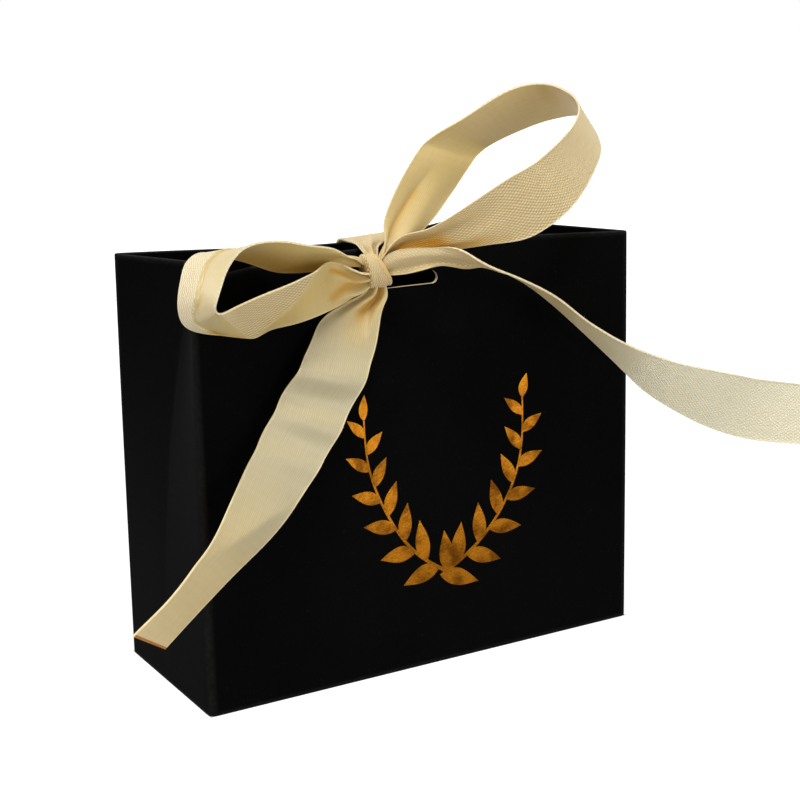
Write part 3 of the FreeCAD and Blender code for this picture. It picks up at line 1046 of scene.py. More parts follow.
    def build(self) -> None:
        """Builds both long walls and the four half gussets, and hides the solids they stand for."""
        heights = [row[0] for row in self.profile()]
        for side in Side:
            end = side.name.lower()
            wall = self.wall_piece(f"{end}_wall", [self.wall_plan(side, z) for z in heights], side)
            self.cut_slot(wall, side)
            self.settle(wall, f"{end}_panel", f"{end}_turn_in")
            half_name = "front" if side is Side.FRONT else "rear"
            for hand, label in ((-1, "left"), (1, "right")):
                plans = [self.gusset_plan(hand, side, z) for z in heights]
                half = self.wall_piece(f"{label}_gusset_{half_name}_card", plans, side)
                self.settle(half, f"{label}_gusset_{half_name}", f"{label}_{half_name}_turn_in")

    def settle(self, piece: bpy.types.Object, *nodes: str) -> None:
        """Fixes a wall to the box in place of its solids.

        Args:
            piece: The wall.
            nodes: The solids that it stands for.
        """
        sharpen(piece, self.sharp_degrees)
        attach(piece, "box")
        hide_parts(*nodes)
        LOG.info("%s: %d faces", piece.name, len(piece.data.polygons))

    def dress_solids(self, names: list[str]) -> None:
        """Gives the card finish to the solids that stay as they are.

        Args:
            names: The names of their nodes.
        """
        for name in names:
            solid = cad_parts[name]
            solid.data.materials.clear()
            solid.data.materials.append(self.finishes.card)


# Each station gives its place from the knot's middle, the way across the ribbon there, and the share of
# the ribbon's width that is left.
RIGHT_LOOP: tuple[Station, ...] = (
    ((2.8, 1, 4.1), (-0.78, -0.52, 0.34), 0.28),
    ((11, 6.5, 8.5), (-0.95, -0.2, 0.25), 0.8),
    ((21.5, 12.5, 17), (-0.93, -0.15, 0.34), 1),
    ((29.5, 15, 24), (-0.95, -0.1, 0.3), 1),
    ((38, 17, 27.5), (-0.81, -0.38, 0.44), 1),
    ((50.5, 16.5, 32.5), (-0.65, -0.43, 0.63), 1),
    ((56.5, 13, 34), (-0.6, -0.53, 0.6), 1),
    ((59.5, 6.5, 33.5), (-0.67, -0.6, 0.43), 1),
    ((57.5, -2, 29.5), (-0.69, -0.44, 0.57), 1),
    ((51, -9, 25.5), (-0.74, -0.35, 0.58), 1),
    ((40, -13, 18), (-0.67, -0.11, 0.74), 1),
    ((30, -14.5, 14), (-0.4, -0.1, 0.91), 1),
    ((20.5, -12.2, 10.8), (-0.45, -0.1, 0.89), 0.75),
    ((11.5, -4.8, 6.6), (-0.3, -0.05, 0.95), 0.4),
    ((6.8, -1.8, 5.9), (-0.35, 0.05, 0.92), 0.34),
    ((3.3, -0.6, 3.9), (-0.4, 0.2, 0.85), 0.2),
)
LEFT_LOOP: tuple[Station, ...] = (
    ((-3.9, -1, -1.6), (-0.3, -0.4, 0.86), 0.3),
    ((-11, -2.5, -0.5), (-0.42, -0.37, 0.83), 0.8),
    ((-18, -6, -1), (-0.42, -0.45, 0.79), 0.95),
    ((-25.5, -8, -2.5), (-0.36, -0.6, 0.72), 1),
    ((-34, -10.5, -3.1), (-0.42, -0.69, 0.59), 1),
    ((-40, -13, -3.7), (-0.43, -0.72, 0.55), 1),
    ((-48, -16.8, -2.9), (-0.24, -0.88, 0.42), 1),
    ((-52.3, -18.2, -0.9), (0.05, -0.92, 0.38), 1),
    ((-52, -17.7, 2.8), (0.14, -0.96, 0.24), 1),
    ((-50, -15.5, 6), (0.15, -0.98, 0.14), 1),
    ((-47.5, -12.5, 8.5), (0.16, -0.98, 0.08), 1),
    ((-42.5, -9, 10.5), (0.15, -0.97, 0.17), 1),
    ((-37.5, -7.6, 10.2), (0.15, -0.94, 0.3), 1),
    ((-31.2, -7.4, 8.9), (0.1, -0.91, 0.41), 1),
    ((-25, -6.8, 6.7), (0.08, -0.86, 0.5), 0.95),
    ((-15.5, -3.8, 4.9), (0, -0.84, 0.54), 0.8),
    ((-8, -0.5, 3.3), (-0.2, -0.82, 0.54), 0.5),
    ((-3.8, 1.2, 2.6), (-0.38, -0.71, 0.59), 0.25),
)
LEFT_TAIL: tuple[Station, ...] = (
    ((-0.4, -0.6, -4.95), (-0.98, 0.1, 0.1), 0.3),
    ((-4.8, -0.4, -7.6), (-0.96, 0.2, 0.15), 0.62),
    ((-7.9, -1.2, -10.8), (-0.95, 0.2, 0.2), 0.87),
    ((-12, -4.5, -16), (-0.95, 0.06, 0.29), 1),
    ((-23, -9, -28.5), (-0.85, 0.18, 0.5), 1),
    ((-33.8, -13.7, -39.8), (-0.82, -0.01, 0.58), 1),
    ((-41.1, -16.9, -45.9), (-0.74, -0.23, 0.64), 1),
    ((-50.5, -20, -53.5), (-0.63, -0.5, 0.59), 1),
    ((-60.1, -21.4, -61.4), (-0.55, -0.6, 0.58), 1),
    ((-68.5, -22, -67.5), (-0.63, -0.55, 0.5), 1),
)
RIGHT_TAIL: tuple[Station, ...] = (
    ((3.5, -2.5, 1.8), (-0.5, 0.2, 0.8), 0.38),
    ((7, -5.2, 2.9), (-0.4, 0.32, 0.84), 0.36),
    ((13, -7.8, 3.3), (-0.45, -0.2, 0.85), 0.3),
    ((21.5, -10, 1), (-0.52, -0.82, 0.24), 0.8),
    ((29.5, -12.5, -2.5), (-0.45, -0.88, 0.15), 1),
    ((37.5, -14, -7.5), (-0.38, -0.91, 0.17), 1),
    ((46, -16, -15), (-0.4, -0.88, 0.25), 1),
    ((56.5, -17, -23), (-0.28, -0.88, 0.38), 1),
    ((70.5, -17.5, -32), (-0.06, -0.72, 0.69), 1),
    ((93, -19, -41.5), (0.1, -0.22, 0.97), 1),
    ((112, -20.5, -46), (-0.1, 0.03, 0.99), 1),
)


class Fold(Enum):
    """How a crease shapes the ribbon beside its line."""

    RIDGE = "a bent line with two flat sides"
    WAVE = "a soft swell"
    LAP = "one side lies a little higher than the other"


@dataclass(frozen=True)
class RibbonLine:
    """A line on the flat ribbon, in millimetres across and along it."""

    start: Flat
    end: Flat

    def beside(self, places: np.ndarray) -> tuple[np.ndarray, np.ndarray, np.ndarray]:
        """How places on the flat ribbon lie beside the line.

        Args:
            places: Places across and along the ribbon, one row each.

        Returns:
            The share of the line at each place, which goes past 0 and 1 beyond its ends, the distance
            from the line, and the distance to one side of it.
        """
        run = np.array(self.end) - np.array(self.start)
        rel = places - np.array(self.start)
        span = float(np.dot(run, run))
        share = rel @ run / span
        distance = np.linalg.norm(rel - np.clip(share, 0, 1)[:, None] * run, axis=1)
        side = (rel[:, 0] * run[1] - rel[:, 1] * run[0]) / math.sqrt(span)
        return share, distance, side


@dataclass(frozen=True)
class Crease(RibbonLine):
    """A line along which the ribbon is bent."""

    height: float
    spread: float
    fold: Fold = Fold.RIDGE
    tapered: bool = False
    taper_power: float = 1.5
    ridge_round: float = 0.2
    wave_droop: float = 0.3
    lap_ends: float = 6.0
    lap_reach: float = 3.0

    def lift(self, across: np.ndarray, along: float) -> np.ndarray:
        """How far the crease lifts a row of points.

        Args:
            across: Places across the ribbon.
            along: The row's place along it.

        Returns:
            The lift of each point.
        """
        share, distance, side = self.beside(np.stack([across, np.full(len(across), along)], axis=1))
        if self.fold is Fold.LAP:
            fade = np.clip(np.minimum(share, 1 - share) * self.lap_ends, 0, 1)
            step = self.height * 0.5 * np.tanh(side / self.spread)
            return step * fade * np.exp(-np.abs(side) / self.lap_reach)
        if self.fold is Fold.WAVE:
            droop = 1 - self.wave_droop * (across / RIBBON_HALF) ** 2
            rise = self.height * np.exp(-((distance / self.spread) ** 2)) * droop
        else:
            rounded = np.sqrt(distance**2 + (self.ridge_round * self.spread) ** 2)
            rise = self.height * np.exp(-rounded / self.spread)
        if not self.tapered:
            return rise
        inside = np.clip(share, 0, 1)
        return rise * (4 * inside * (1 - inside)) ** self.taper_power


@dataclass(frozen=True)
class Gather:
    """How one end of a ribbon is pleated where the knot gathers it."""

    pleats: float = 1.6
    phase: float = 0.0
    deepest: float = 0.9
    begins_at: float = 0.97
    full_after: float = 0.45

    def lift(self, spread: np.ndarray, share: float, width: float) -> np.ndarray:
        """How far the pleats lift a row of points.

        Args:
            spread: Places across the ribbon, from -1 to 1.
            share: The share of the ribbon's width that is left.
            width: The ribbon's flat width.

        Returns:
            The lift of each point.
        """
        fade = min(max((self.begins_at - share) / self.full_after, 0.0), 1.0)
        wave = width * share / self.pleats
        depth = min(wave / 4 * math.sqrt(max(1 / share**2 - 1, 0.0)), self.deepest)
        folds = np.sin(math.pi * self.pleats * spread + self.phase)
        return depth * fade * fade * (3 - 2 * fade) * folds


@dataclass(frozen=True)
class PaintedShade(RibbonLine):
    """A line along which shade is painted on the ribbon, darker and warmer, where it lies deep in its
    folds or under other ribbon.
    """

    spread: float
    depth: float

    def shade(self, places: np.ndarray) -> np.ndarray:
        """How much painted shade each place takes.

        Args:
            places: Places across and along the flat ribbon, one row each.

        Returns:
            The share of painted shade at each place, from 0 to 1.
        """
        _, distance, _ = self.beside(places)
        return self.depth * np.exp(-((distance / self.spread) ** 2))


@dataclass(frozen=True)
class Patch:
    """A stretch of the ribbon's outer face that shows the other weave.

    The two slanting ends give a place along the ribbon at its -8 mm edge and at its +8 mm edge.
    """

    across: Flat
    low: Flat
    high: Flat

    def holds(self, across: float, along: float) -> bool:
        """Whether a place on the flat ribbon is in the patch.

        Args:
            across: Millimetres from the ribbon's middle.
            along: Millimetres along it.

        Returns:
            True inside the patch.
        """
        share = (across + RIBBON_HALF) / RIBBON_WIDTH
        low = self.low[0] + (self.low[1] - self.low[0]) * share
        high = self.high[0] + (self.high[1] - self.high[0]) * share
        return self.across[0] <= across <= self.across[1] and low <= along <= high


@dataclass
class Ribbon:
    """A length of ribbon: a thin closed strip through its stations, pleated where it is gathered."""

    name: str
    node: str
    body: str
    stations: tuple[Station, ...]
    face: RibbonFace
    finishes: Finishes
    rests_on: list[str]
    held: str
    outer: int = -1
    into_knot: Flat = (2.6, 0.0)
    gathers: tuple[Gather, Gather] = (Gather(), Gather())
    creases: list[Crease] = field(default_factory=list)
    patches: list[Patch] = field(default_factory=list)
    painted_shades: list[PaintedShade] = field(default_factory=list)
    # How pale the ribbon is along its length, in millimetres: partly a cooler tone, partly painted
    # sheen.
    pale: tuple[Flat, ...] = ((0, 0), (1, 0))
    even: tuple[Flat, ...] = ((0, 0), (1, 0))
    width: float = RIBBON_WIDTH
    thickness: float = 0.28
    step: float = 0.6
    across_steps: int = 40
    softness: float = 1.6
    end_share: float = 0.6
    edge_crowding: float = 1.15
    bead_height: float = 0.6
    bead_width: float = 0.04
    sharp_degrees: float = 60.0

    def smooth(self, rows: np.ndarray, spacing: float) -> np.ndarray:
        """Evens out a run of values along the ribbon, and keeps its ends.

        Args:
            rows: One row per step.
            spacing: Millimetres from one step to the next.

        Returns:
            The evened rows.
        """
        reach = max(int(3 * self.softness / spacing), 1)
        weights = np.exp(-0.5 * (np.arange(-reach, reach + 1) * spacing / self.softness) ** 2)
        weights /= weights.sum()
        before = 2 * rows[0] - rows[reach:0:-1]
        after = 2 * rows[-1] - rows[-2 : -reach - 2 : -1]
        padded = np.concatenate([before, rows, after])
        columns = range(rows.shape[1])
        evened = [np.convolve(padded[:, column], weights, mode="valid") for column in columns]
        return np.stack(evened, axis=1)

    def station_rows(self) -> np.ndarray:
        """The stations, run on into the knot.

        Returns:
            One row per station: its middle, the way across it and the share of the ribbon's width.
        """
        rows = np.array(
            [
                [*centre, *np.array(across) / np.linalg.norm(across), share]
                for centre, across, share in self.stations
            ]
        )
        start, end = self.into_knot
        first, last = rows[0].copy(), rows[-1].copy()
        first[6] *= self.end_share
        last[6] *= self.end_share
        first[:3] *= 1 - start / np.linalg.norm(first[:3])
        last[:3] *= 1 - end / np.linalg.norm(last[:3])
        if start:
            rows = np.concatenate([[first], rows])
        if end:
            rows = np.concatenate([rows, [last]])
        return rows

    def path(self) -> tuple[np.ndarray, np.ndarray, np.ndarray, np.ndarray]:
        """The ribbon's middle line.

        Returns:
            Its points, the way across it, the share of its width, and the length to each point.
        """
        rows = self.station_rows()
        gaps = np.linalg.norm(np.diff(rows[:, :3], axis=0), axis=1)
        lengths = np.concatenate([[0], np.cumsum(gaps)])
        # The slope at each station, and then a cubic from each station to the next.
        slopes = np.zeros_like(rows)
        slopes[1:-1] = (rows[2:] - rows[:-2]) / (lengths[2:] - lengths[:-2])[:, None]
        slopes[0] = (rows[1] - rows[0]) / gaps[0]
        slopes[-1] = (rows[-1] - rows[-2]) / gaps[-1]
        steps = int(math.ceil(lengths[-1] / self.step))
        places = np.linspace(0, lengths[-1], steps + 1)
        index = np.clip(np.searchsorted(lengths, places, side="right") - 1, 0, len(rows) - 2)
        run = (lengths[index + 1] - lengths[index])[:, None]
        share = (places[:, None] - lengths[index][:, None]) / run
        chord = rows[index + 1] - rows[index]
        bend = slopes[index] * run - chord
        other = chord - slopes[index + 1] * run
        dense = rows[index] + chord * share + (bend * (1 - share) + other * share) * share * (1 - share)
        dense = self.smooth(dense, places[1] - places[0])
        middle = dense[:, :3]
        across = dense[:, 3:6] / np.linalg.norm(dense[:, 3:6], axis=1)[:, None]
        strides = np.linalg.norm(np.diff(middle, axis=0), axis=1)
        travelled = np.concatenate([[0], np.cumsum(strides)])
        return middle, across, np.minimum(dense[:, 6], 1), travelled

    def build(self, knot: np.ndarray) -> bpy.types.Object:
        """Builds the strip in place of its solid.

        Args:
            knot: The knot's middle, in millimetres.

        Returns:
            The piece.
        """
        middle, across, shares, travelled = self.path()
        heading = np.gradient(middle, axis=0)
        lift = np.cross(heading, across)
        lift /= np.linalg.norm(lift, axis=1)[:, None]
        # The points stand closer together towards the edges.
        spread = np.linspace(-1, 1, self.across_steps + 1)
        spread = np.sign(spread) * (1 - (1 - np.abs(spread)) ** self.edge_crowding)
        half = self.width / 2
        columns = len(spread)
        sheet = np.zeros((len(middle), columns, 3))
        own_map = np.zeros((len(middle), columns, 2))
        for row in range(len(middle)):
            gather = self.gathers[0] if travelled[row] < travelled[-1] / 2 else self.gathers[1]
            height = gather.lift(spread, shares[row], self.width)
            for crease in self.creases:
                height = height + crease.lift(spread * half, travelled[row])
            reach = spread[:, None] * half * shares[row]
            rise = lift[row] * height[:, None] * self.outer
            sheet[row] = middle[row] + across[row] * reach + rise + knot
            own_map[row, :, 0] = spread * half * MAP_PER_MM
            own_map[row, :, 1] = travelled[row] * MAP_PER_MM
        piece = self.close(sheet, own_map)
        self.tint(piece, np.concatenate([own_map.reshape(-1, 2)] * 2))
        face_outwards(piece)
        sharpen(piece, self.sharp_degrees)
        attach(piece, self.body)
        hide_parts(self.node)
        return piece

    def close(self, sheet: np.ndarray, own_map: np.ndarray) -> bpy.types.Object:
        """Gives the strip its thickness, its beaded edges and its two faces.

        Args:
            sheet: The strip's middle surface, rows by columns.
            own_map: Its map, rows by columns.

        Returns:
            The closed piece.
        """
        rows, columns = sheet.shape[:2]
        normal = np.cross(np.gradient(sheet, axis=0), np.gradient(sheet, axis=1))
        normal /= np.maximum(np.linalg.norm(normal, axis=2), 1e-9)[:, :, None]
        from_edge = 1 - np.abs(np.linspace(-1, 1, columns))
        bead = 1 + self.bead_height * np.exp(-((from_edge / self.bead_width) ** 2))
        offset = normal * (self.thickness / 2 * bead)[None, :, None]
        points = np.concatenate([(sheet + offset).reshape(-1, 3), (sheet - offset).reshape(-1, 3)])
        count = rows * columns
        faces = []
        slots = []
        for row in range(rows - 1):
            singed = self.held == "hung" and row == rows - 2
            for column in range(columns - 1):
                at = row * columns + column
                quad = (at, at + columns, at + columns + 1, at + 1)
                place = own_map[row, column] * MM_PER_MAP
                patched = any(patch.holds(place[0], place[1]) for patch in self.patches)
                outward = RibbonSlot.INNER if patched else RibbonSlot.OUTER
                faces.append(quad)
                faces.append(tuple(count + index for index in reversed(quad)))
                for side in (1, -1):
                    slot = outward if self.outer == side else RibbonSlot.INNER
                    slots.append(RibbonSlot.CUT if singed else slot)
        # The two long edges are woven, and the two ends are cut.
        edges = [[row * columns for row in range(rows)]]
        edges.append([row * columns + columns - 1 for row in reversed(range(rows))])
        ends = [list(reversed(range(columns)))]
        ends.append([(rows - 1) * columns + column for column in range(columns)])
        for rims, slot in ((edges, RibbonSlot.OUTER), (ends, RibbonSlot.CUT)):
            for rim in rims:
                for here, after in zip(rim, rim[1:]):
                    faces.append((here, count + here, count + after, after))
                    slots.append(slot)
        first, second = self.finishes.satin, self.finishes.twill
        if self.face is RibbonFace.TWILL:
            first, second = second, first
        piece = make_piece(self.name, points, faces, [first, second, self.finishes.cut_end])
        piece.data.polygons.foreach_set("material_index", [int(slot) for slot in slots])
        return piece

    def tint(self, piece: bpy.types.Object, flat: np.ndarray) -> None:
        """Gives the strip its map, and says where it is paler, partly painted sheen, where its weave is
        even, and where shade is painted on it.

        Args:
            piece: The strip.
            flat: The place of each vertex across and along the flat ribbon, in units of the map.
        """
        lay_map(piece, flat)
        places = flat * MM_PER_MAP
        # Painted shade from each line, and how pale the ribbon is, which is partly a cooler tone and
        # partly painted sheen.
        painted_shade_share = sum((painted_shade.shade(places) for painted_shade in self.painted_shades), np.zeros(len(places)))
        give_value(piece, "pale", np.interp(places[:, 1], *zip(*self.pale)))
        give_value(piece, "smooth", np.interp(places[:, 1], *zip(*self.even)))
        give_value(piece, "painted_shade", np.minimum(painted_shade_share, 1))


@dataclass
class Knot:
    """The wrap of ribbon round the middle of the bow, narrow at its top and slanting to the right."""

    finishes: Finishes
    width: float = 6.2
    depth: float = 6.2
    height: float = 8.0
    slant: float = 0.3
    shift: float = -0.8
    lift: float = 0.4
    squareness: float = 0.8
    mean_width: float = 0.8
    top_narrowing: float = 0.2
    rim_power: int = 6
    rim_girth: float = 0.62
    fold_place: float = 0.45
    fold_slant: float = 0.3
    fold_height: float = 0.05
    fold_sharpness: float = 0.06
    fold_reach: float = 0.5
    pleats: float = 1.7
    pleat_height: float = 0.03
    pleat_turn: float = 1.3
    map_half_width: float = 0.05
    tint_width: float = 0.1
    evenness: float = 0.9
    painted_shade_share: float = 0.4
    around: int = 120
    across: int = 48
    sharp_degrees: float = 70.0

    def build(self, knot: np.ndarray) -> bpy.types.Object:
        """Builds the wrap in place of its solid.

        Args:
            knot: The knot's middle, in millimetres.

        Returns:
            The piece.
        """
        points = []
        own_map = []
        turned = []
        for row in range(self.around):
            turn = math.pi + 2 * math.pi * row / self.around
            up = math.copysign(abs(math.sin(turn)) ** self.squareness, math.sin(turn))
            out = math.copysign(abs(math.cos(turn)) ** self.squareness, math.cos(turn))
            narrow = self.mean_width - self.top_narrowing * up
            for column in range(self.across + 1):
                span = -1 + 2 * column / self.across
                rim = math.sqrt(max(1 - abs(span) ** self.rim_power, 0.0))
                ridge = span - self.fold_place + self.fold_slant * up
                girth = self.rim_girth + (1 - self.rim_girth) * rim
                girth += self.relief(span, turn, ridge) * rim
                x = self.width / 2 * span * narrow - self.slant * up * self.height / 2
                y = -out * self.depth / 2 * girth
                z = up * self.height / 2 * girth
                points.append((x, y, z))
                own_map.append((span * self.map_half_width, turn * self.height / 2 * MAP_PER_MM))
                turned.append(0.5 + 0.5 * math.tanh(ridge / self.tint_width))
        faces = []
        columns = self.across + 1
        for row in range(self.around):
            here, after = row * columns, (row + 1) % self.around * columns
            for column in range(self.across):
                faces.append((here + column, here + column + 1, after + column + 1, after + column))
        faces.append(tuple(row * columns for row in range(self.around)))
        faces.append(tuple(row * columns + self.across for row in reversed(range(self.around))))
        seat = knot + np.array([self.shift, 0, self.lift])
        piece = make_piece("ribbon_wrap", np.array(points) + seat, faces, [self.finishes.twill])
        lay_map(piece, np.array(own_map))
        # The part of the wrap past its fold line, turned away from the lamps, is woven more evenly and
        # takes painted shade.
        give_value(piece, "smooth", self.evenness * np.array(turned))
        give_value(piece, "painted_shade", self.painted_shade_share * np.array(turned))
        face_outwards(piece)
        sharpen(piece, self.sharp_degrees)
        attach(piece, "box")
        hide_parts("ribbon_knot")
        LOG.info("ribbon_wrap: %d faces", len(piece.data.polygons))
        return piece

    def relief(self, span: float, turn: float, ridge: float) -> float:
        """How far the wrap's fold line and pleats stand out, as a share of its girth.

        Args:
            span: The place across the wrap, from -1 to 1.
            turn: The angle round it.
            ridge: The place across the wrap, from the fold line.

        Returns:
            The share.
        """
        step = math.tanh(ridge / self.fold_sharpness) * math.exp(-((ridge / self.fold_reach) ** 2))
        pleat = math.sin(math.pi * self.pleats * span + self.pleat_turn * math.cos(turn))
        return self.fold_height * step + self.pleat_height * pleat


@dataclass
class Bow:
    """The tied ribbon: its ring through the slots, its knot, two loops and two tails."""

    finishes: Finishes
    form: CardForm
    standoff: float = 0.7
    width: float = RIBBON_WIDTH

    def knot_centre(self) -> np.ndarray:
        """The middle of the knot's solid, in millimetres."""
        low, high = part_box("ribbon_knot")
        return (np.array(low) + np.array(high)) / 2 / MM

    def ring_stations(self, knot: np.ndarray) -> tuple[Station, ...]:
        """The route of the ring: over both top edges, in at the back slot and out at the front one.

        Args:
            knot: The knot's middle.

        Returns:
            Its stations from the knot.
        """
        form = self.form
        clear = self.standoff
        top = form.height
        over = top + clear
        slot = top - form.slot_drop
        below = top - form.slot_drop / 2
        half = self.width / 2
        slope = form.face_y(Side.BACK, half, top) - form.face_y(Side.BACK, -half, top)
        flat = (self.width, slope, 0.0)
        front = (1.0, 0.0, 0.0)
        back_top = form.face_y(Side.BACK, 0, top)
        front_top = form.face_y(Side.FRONT, knot[0], top)
        slot_back = form.face_y(Side.BACK, 0, slot)
        slot_front = form.face_y(Side.FRONT, knot[0], slot)
        middle = (front_top + back_top) / 2
        x = knot[0]
        route = (
            (x, knot[1] + 2.6, knot[2] + 3.5, front, 0.2),
            (0.85 * x, front_top - clear, over - 0.6 * clear, front, 0.32),
            (0.7 * x, front_top + clear, over, front, 0.45),
            (0.35 * x, middle, over, front, 0.7),
            (0, back_top - clear, over + 0.3 * clear, flat, 0.97),
            (0, back_top + 1.4 * clear, over - 0.4 * clear, flat, 1),
            (0, form.face_y(Side.BACK, 0, below) + 1.6 * clear, below, flat, 1),
            (0, slot_back + 1.5 * clear, slot + 0.7 * clear, flat, 1),
            (0, slot_back - clear, slot - 0.2 * clear, flat, 1),
            (0.35 * x, middle, slot, front, 0.75),
            (0.8 * x, slot_front + clear, slot, front, 0.45),
            (x, slot_front - clear, slot + 0.3 * clear, front, 0.3),
        )
        return tuple(
            (tuple(np.array([px, py, pz]) - knot), way, share) for px, py, pz, way, share in route
        )

    def ring(self, knot: np.ndarray) -> Ribbon:
        """The ring that draws the mouth together.

        Args:
            knot: The knot's middle.

        Returns:
            The length of ribbon.
        """
        return Ribbon(
            name="ring_ribbon",
            node="ribbon_strap",
            body="box",
            stations=self.ring_stations(knot),
            face=RibbonFace.TWILL,
            finishes=self.finishes,
            rests_on=["front_wall", "back_wall", "ribbon_wrap"],
            held="folded",
            into_knot=(2.0, 2.0),
            gathers=(Gather(2.0, 0.4, 0.7), Gather(2.0, 0.4, 0.5)),
            softness=0.5,
            step=0.35,
            across_steps=32,
        )

    def left_loop(self) -> Ribbon:
        """The left loop, with a fold line down its outer side.

        Returns:
            The length of ribbon.
        """
        return Ribbon(
            name="left_loop_ribbon",
            node="left_loop",
            body="left_bow_loop",
            stations=LEFT_LOOP,
            face=RibbonFace.TWILL,
            finishes=self.finishes,
            rests_on=["ribbon_wrap"],
            held="folded",
            into_knot=(2.6, 2.6),
            across_steps=72,
            gathers=(Gather(2.2, 0.5, 1.1), Gather(1.6, 0.0, 0.8)),
            creases=[
                Crease((0, 80), (0, 54), 0.6, 0.12, Fold.LAP),
                Crease((1.5, 60), (-8, 47.5), 0.5, 0.2, Fold.LAP),
                Crease((8, 18.5), (-8, 40), 2.2, 5.0),
            ],
            patches=[
                Patch((-0.7, 8.0), (41.0, 49.0), (80.0, 80.0)),
                Patch((-8.0, 0.0), (41.0, 49.0), (47.5, 68.5)),
                Patch((-8.0, 8.0), (-9.0, -9.0), (40.0, 18.5)),
            ],
            # Painted shade in the pleats by the knot and over the run beside them, thin painted shadow
            # lines along the fold lines of the turn, and softer painted shade at the turn's lower
            # corner and on the back run.
            painted_shades=[
                PaintedShade((5.0, 12.0), (0.5, 4.0), 1.0, 0.6),
                PaintedShade((-4.5, 14.0), (-2.0, 5.0), 1.9, 0.7),
                PaintedShade((0.0, 57.0), (0.0, 79.0), 0.25, 0.35),
                PaintedShade((0.0, 57.0), (-8.0, 47.5), 0.3, 0.5),
                PaintedShade((-8.0, 43.0), (-6.5, 50.0), 1.0, 0.6),
                PaintedShade((3.0, 12.0), (-4.0, 30.0), 5.0, 0.25),
                PaintedShade((-6.0, 84.0), (-5.0, 104.0), 5.0, 0.4),
            ],
            # Painted highlight: the turn of the loop, which faces the lamps, is paler.
            pale=((42, 0), (50, 0.42), (78, 0.42), (86, 0)),
        )

    def right_loop(self) -> Ribbon:
        """The right loop, larger and raised.

        Returns:
            The length of ribbon.
        """
        return Ribbon(
            name="right_loop_ribbon",
            node="right_loop",
            body="right_bow_loop",
            stations=RIGHT_LOOP,
            face=RibbonFace.TWILL,
            finishes=self.finishes,
            rests_on=["ribbon_wrap"],
            held="folded",
            into_knot=(4.0, 4.0),
            gathers=(Gather(1.5, 0.6, 0.8), Gather(1.43, -2.92, 1.0)),
            creases=[
                Crease((-8, 40.6), (8, 40), 0.5, 2.5),
                Crease((4.5, 4), (1.5, 36), 1.1, 2.2, tapered=True),
                Crease((-2, 6), (-3.5, 38), -0.5, 3.0, Fold.WAVE, tapered=True),
            ],
            # Painted shade along the groove of the rising band by the knot, and deep, warm painted
            # shade in the pocket under the lip at the band's other end.
            painted_shades=[
                PaintedShade((4.5, 4.0), (2.2, 26.0), 1.3, 0.55),
                PaintedShade((-1.0, 158.0), (-1.5, 145.0), 3.4, 1.0),
                PaintedShade((-3.0, 144.0), (-6.0, 136.0), 2.2, 0.5),
            ],
            even=((60, 0), (70, 1), (103, 1), (116, 0)),
        )

    def left_tail(self) -> Ribbon:
        """The left tail, which hangs in waves across the front and shows its satin face.

        Returns:
            The length of ribbon.
        """
        return Ribbon(
            name="left_tail_ribbon",
            node="left_tail",
            body="left_bow_tail",
            stations=LEFT_TAIL,
            face=RibbonFace.SATIN,
            finishes=self.finishes,
            rests_on=["ribbon_wrap"],
            held="hung",
            gathers=(Gather(1.67, 0.53, 1.0), Gather()),
            creases=[
                Crease((-8, 25.5), (8, 28), 2.6, 3.8, Fold.WAVE),
                Crease((-8, 37), (8, 39.5), 1.6, 3.2, Fold.WAVE),
                Crease((-8, 47), (8, 49.5), 0.6, 2.6, Fold.WAVE),
                Crease((-8, 54), (8, 80), 2.4, 5.0, tapered=True),
                Crease((-6.4, 1), (-5.6, 15), 0.7, 0.8),
            ],
            # Painted shadow of the knot and the loop above it, on the top of the tail.
            painted_shades=[
                PaintedShade((-2.0, 1.0), (-2.0, 8.0), 3.2, 0.6),
                PaintedShade((-3.0, 4.0), (-3.0, 14.0), 5.5, 0.3),
            ],
            pale=((0, 0.2), (20, 1), (55, 0.9), (80, 0.3)),
        )

    def right_tail(self) -> Ribbon:
        """The right tail, which runs out to the side.

        Returns:
            The length of ribbon.
        """
        return Ribbon(
            name="right_tail_ribbon",
            node="right_tail",
            body="right_bow_tail",
            stations=RIGHT_TAIL,
            face=RibbonFace.TWILL,
            finishes=self.finishes,
            rests_on=["ribbon_wrap"],
            held="hung",
            outer=1,
            gathers=(Gather(1.2, 0.3, 0.5), Gather()),
            creases=[Crease((-5.6, 1), (-5.8, 29), 0.5, 0.8)],
            patches=[Patch((-8.0, -5.7), (-5.0, -5.0), (29.0, 29.0))],
            # Painted sheen: the tail grows paler towards its end, where it catches the light.
            pale=((0, 0), (45, 0.1), (75, 1)),
            even=((45, 0), (55, 0.2), (127, 0)),
        )

    def build(self) -> None:
        """Builds the knot and each length of ribbon."""
        knot = self.knot_centre()
        Knot(self.finishes).build(knot)
        self.ring(knot).build(knot)
        self.left_loop().build(knot)
        self.right_loop().build(knot)
        self.left_tail().build(knot)
        self.right_tail().build(knot)


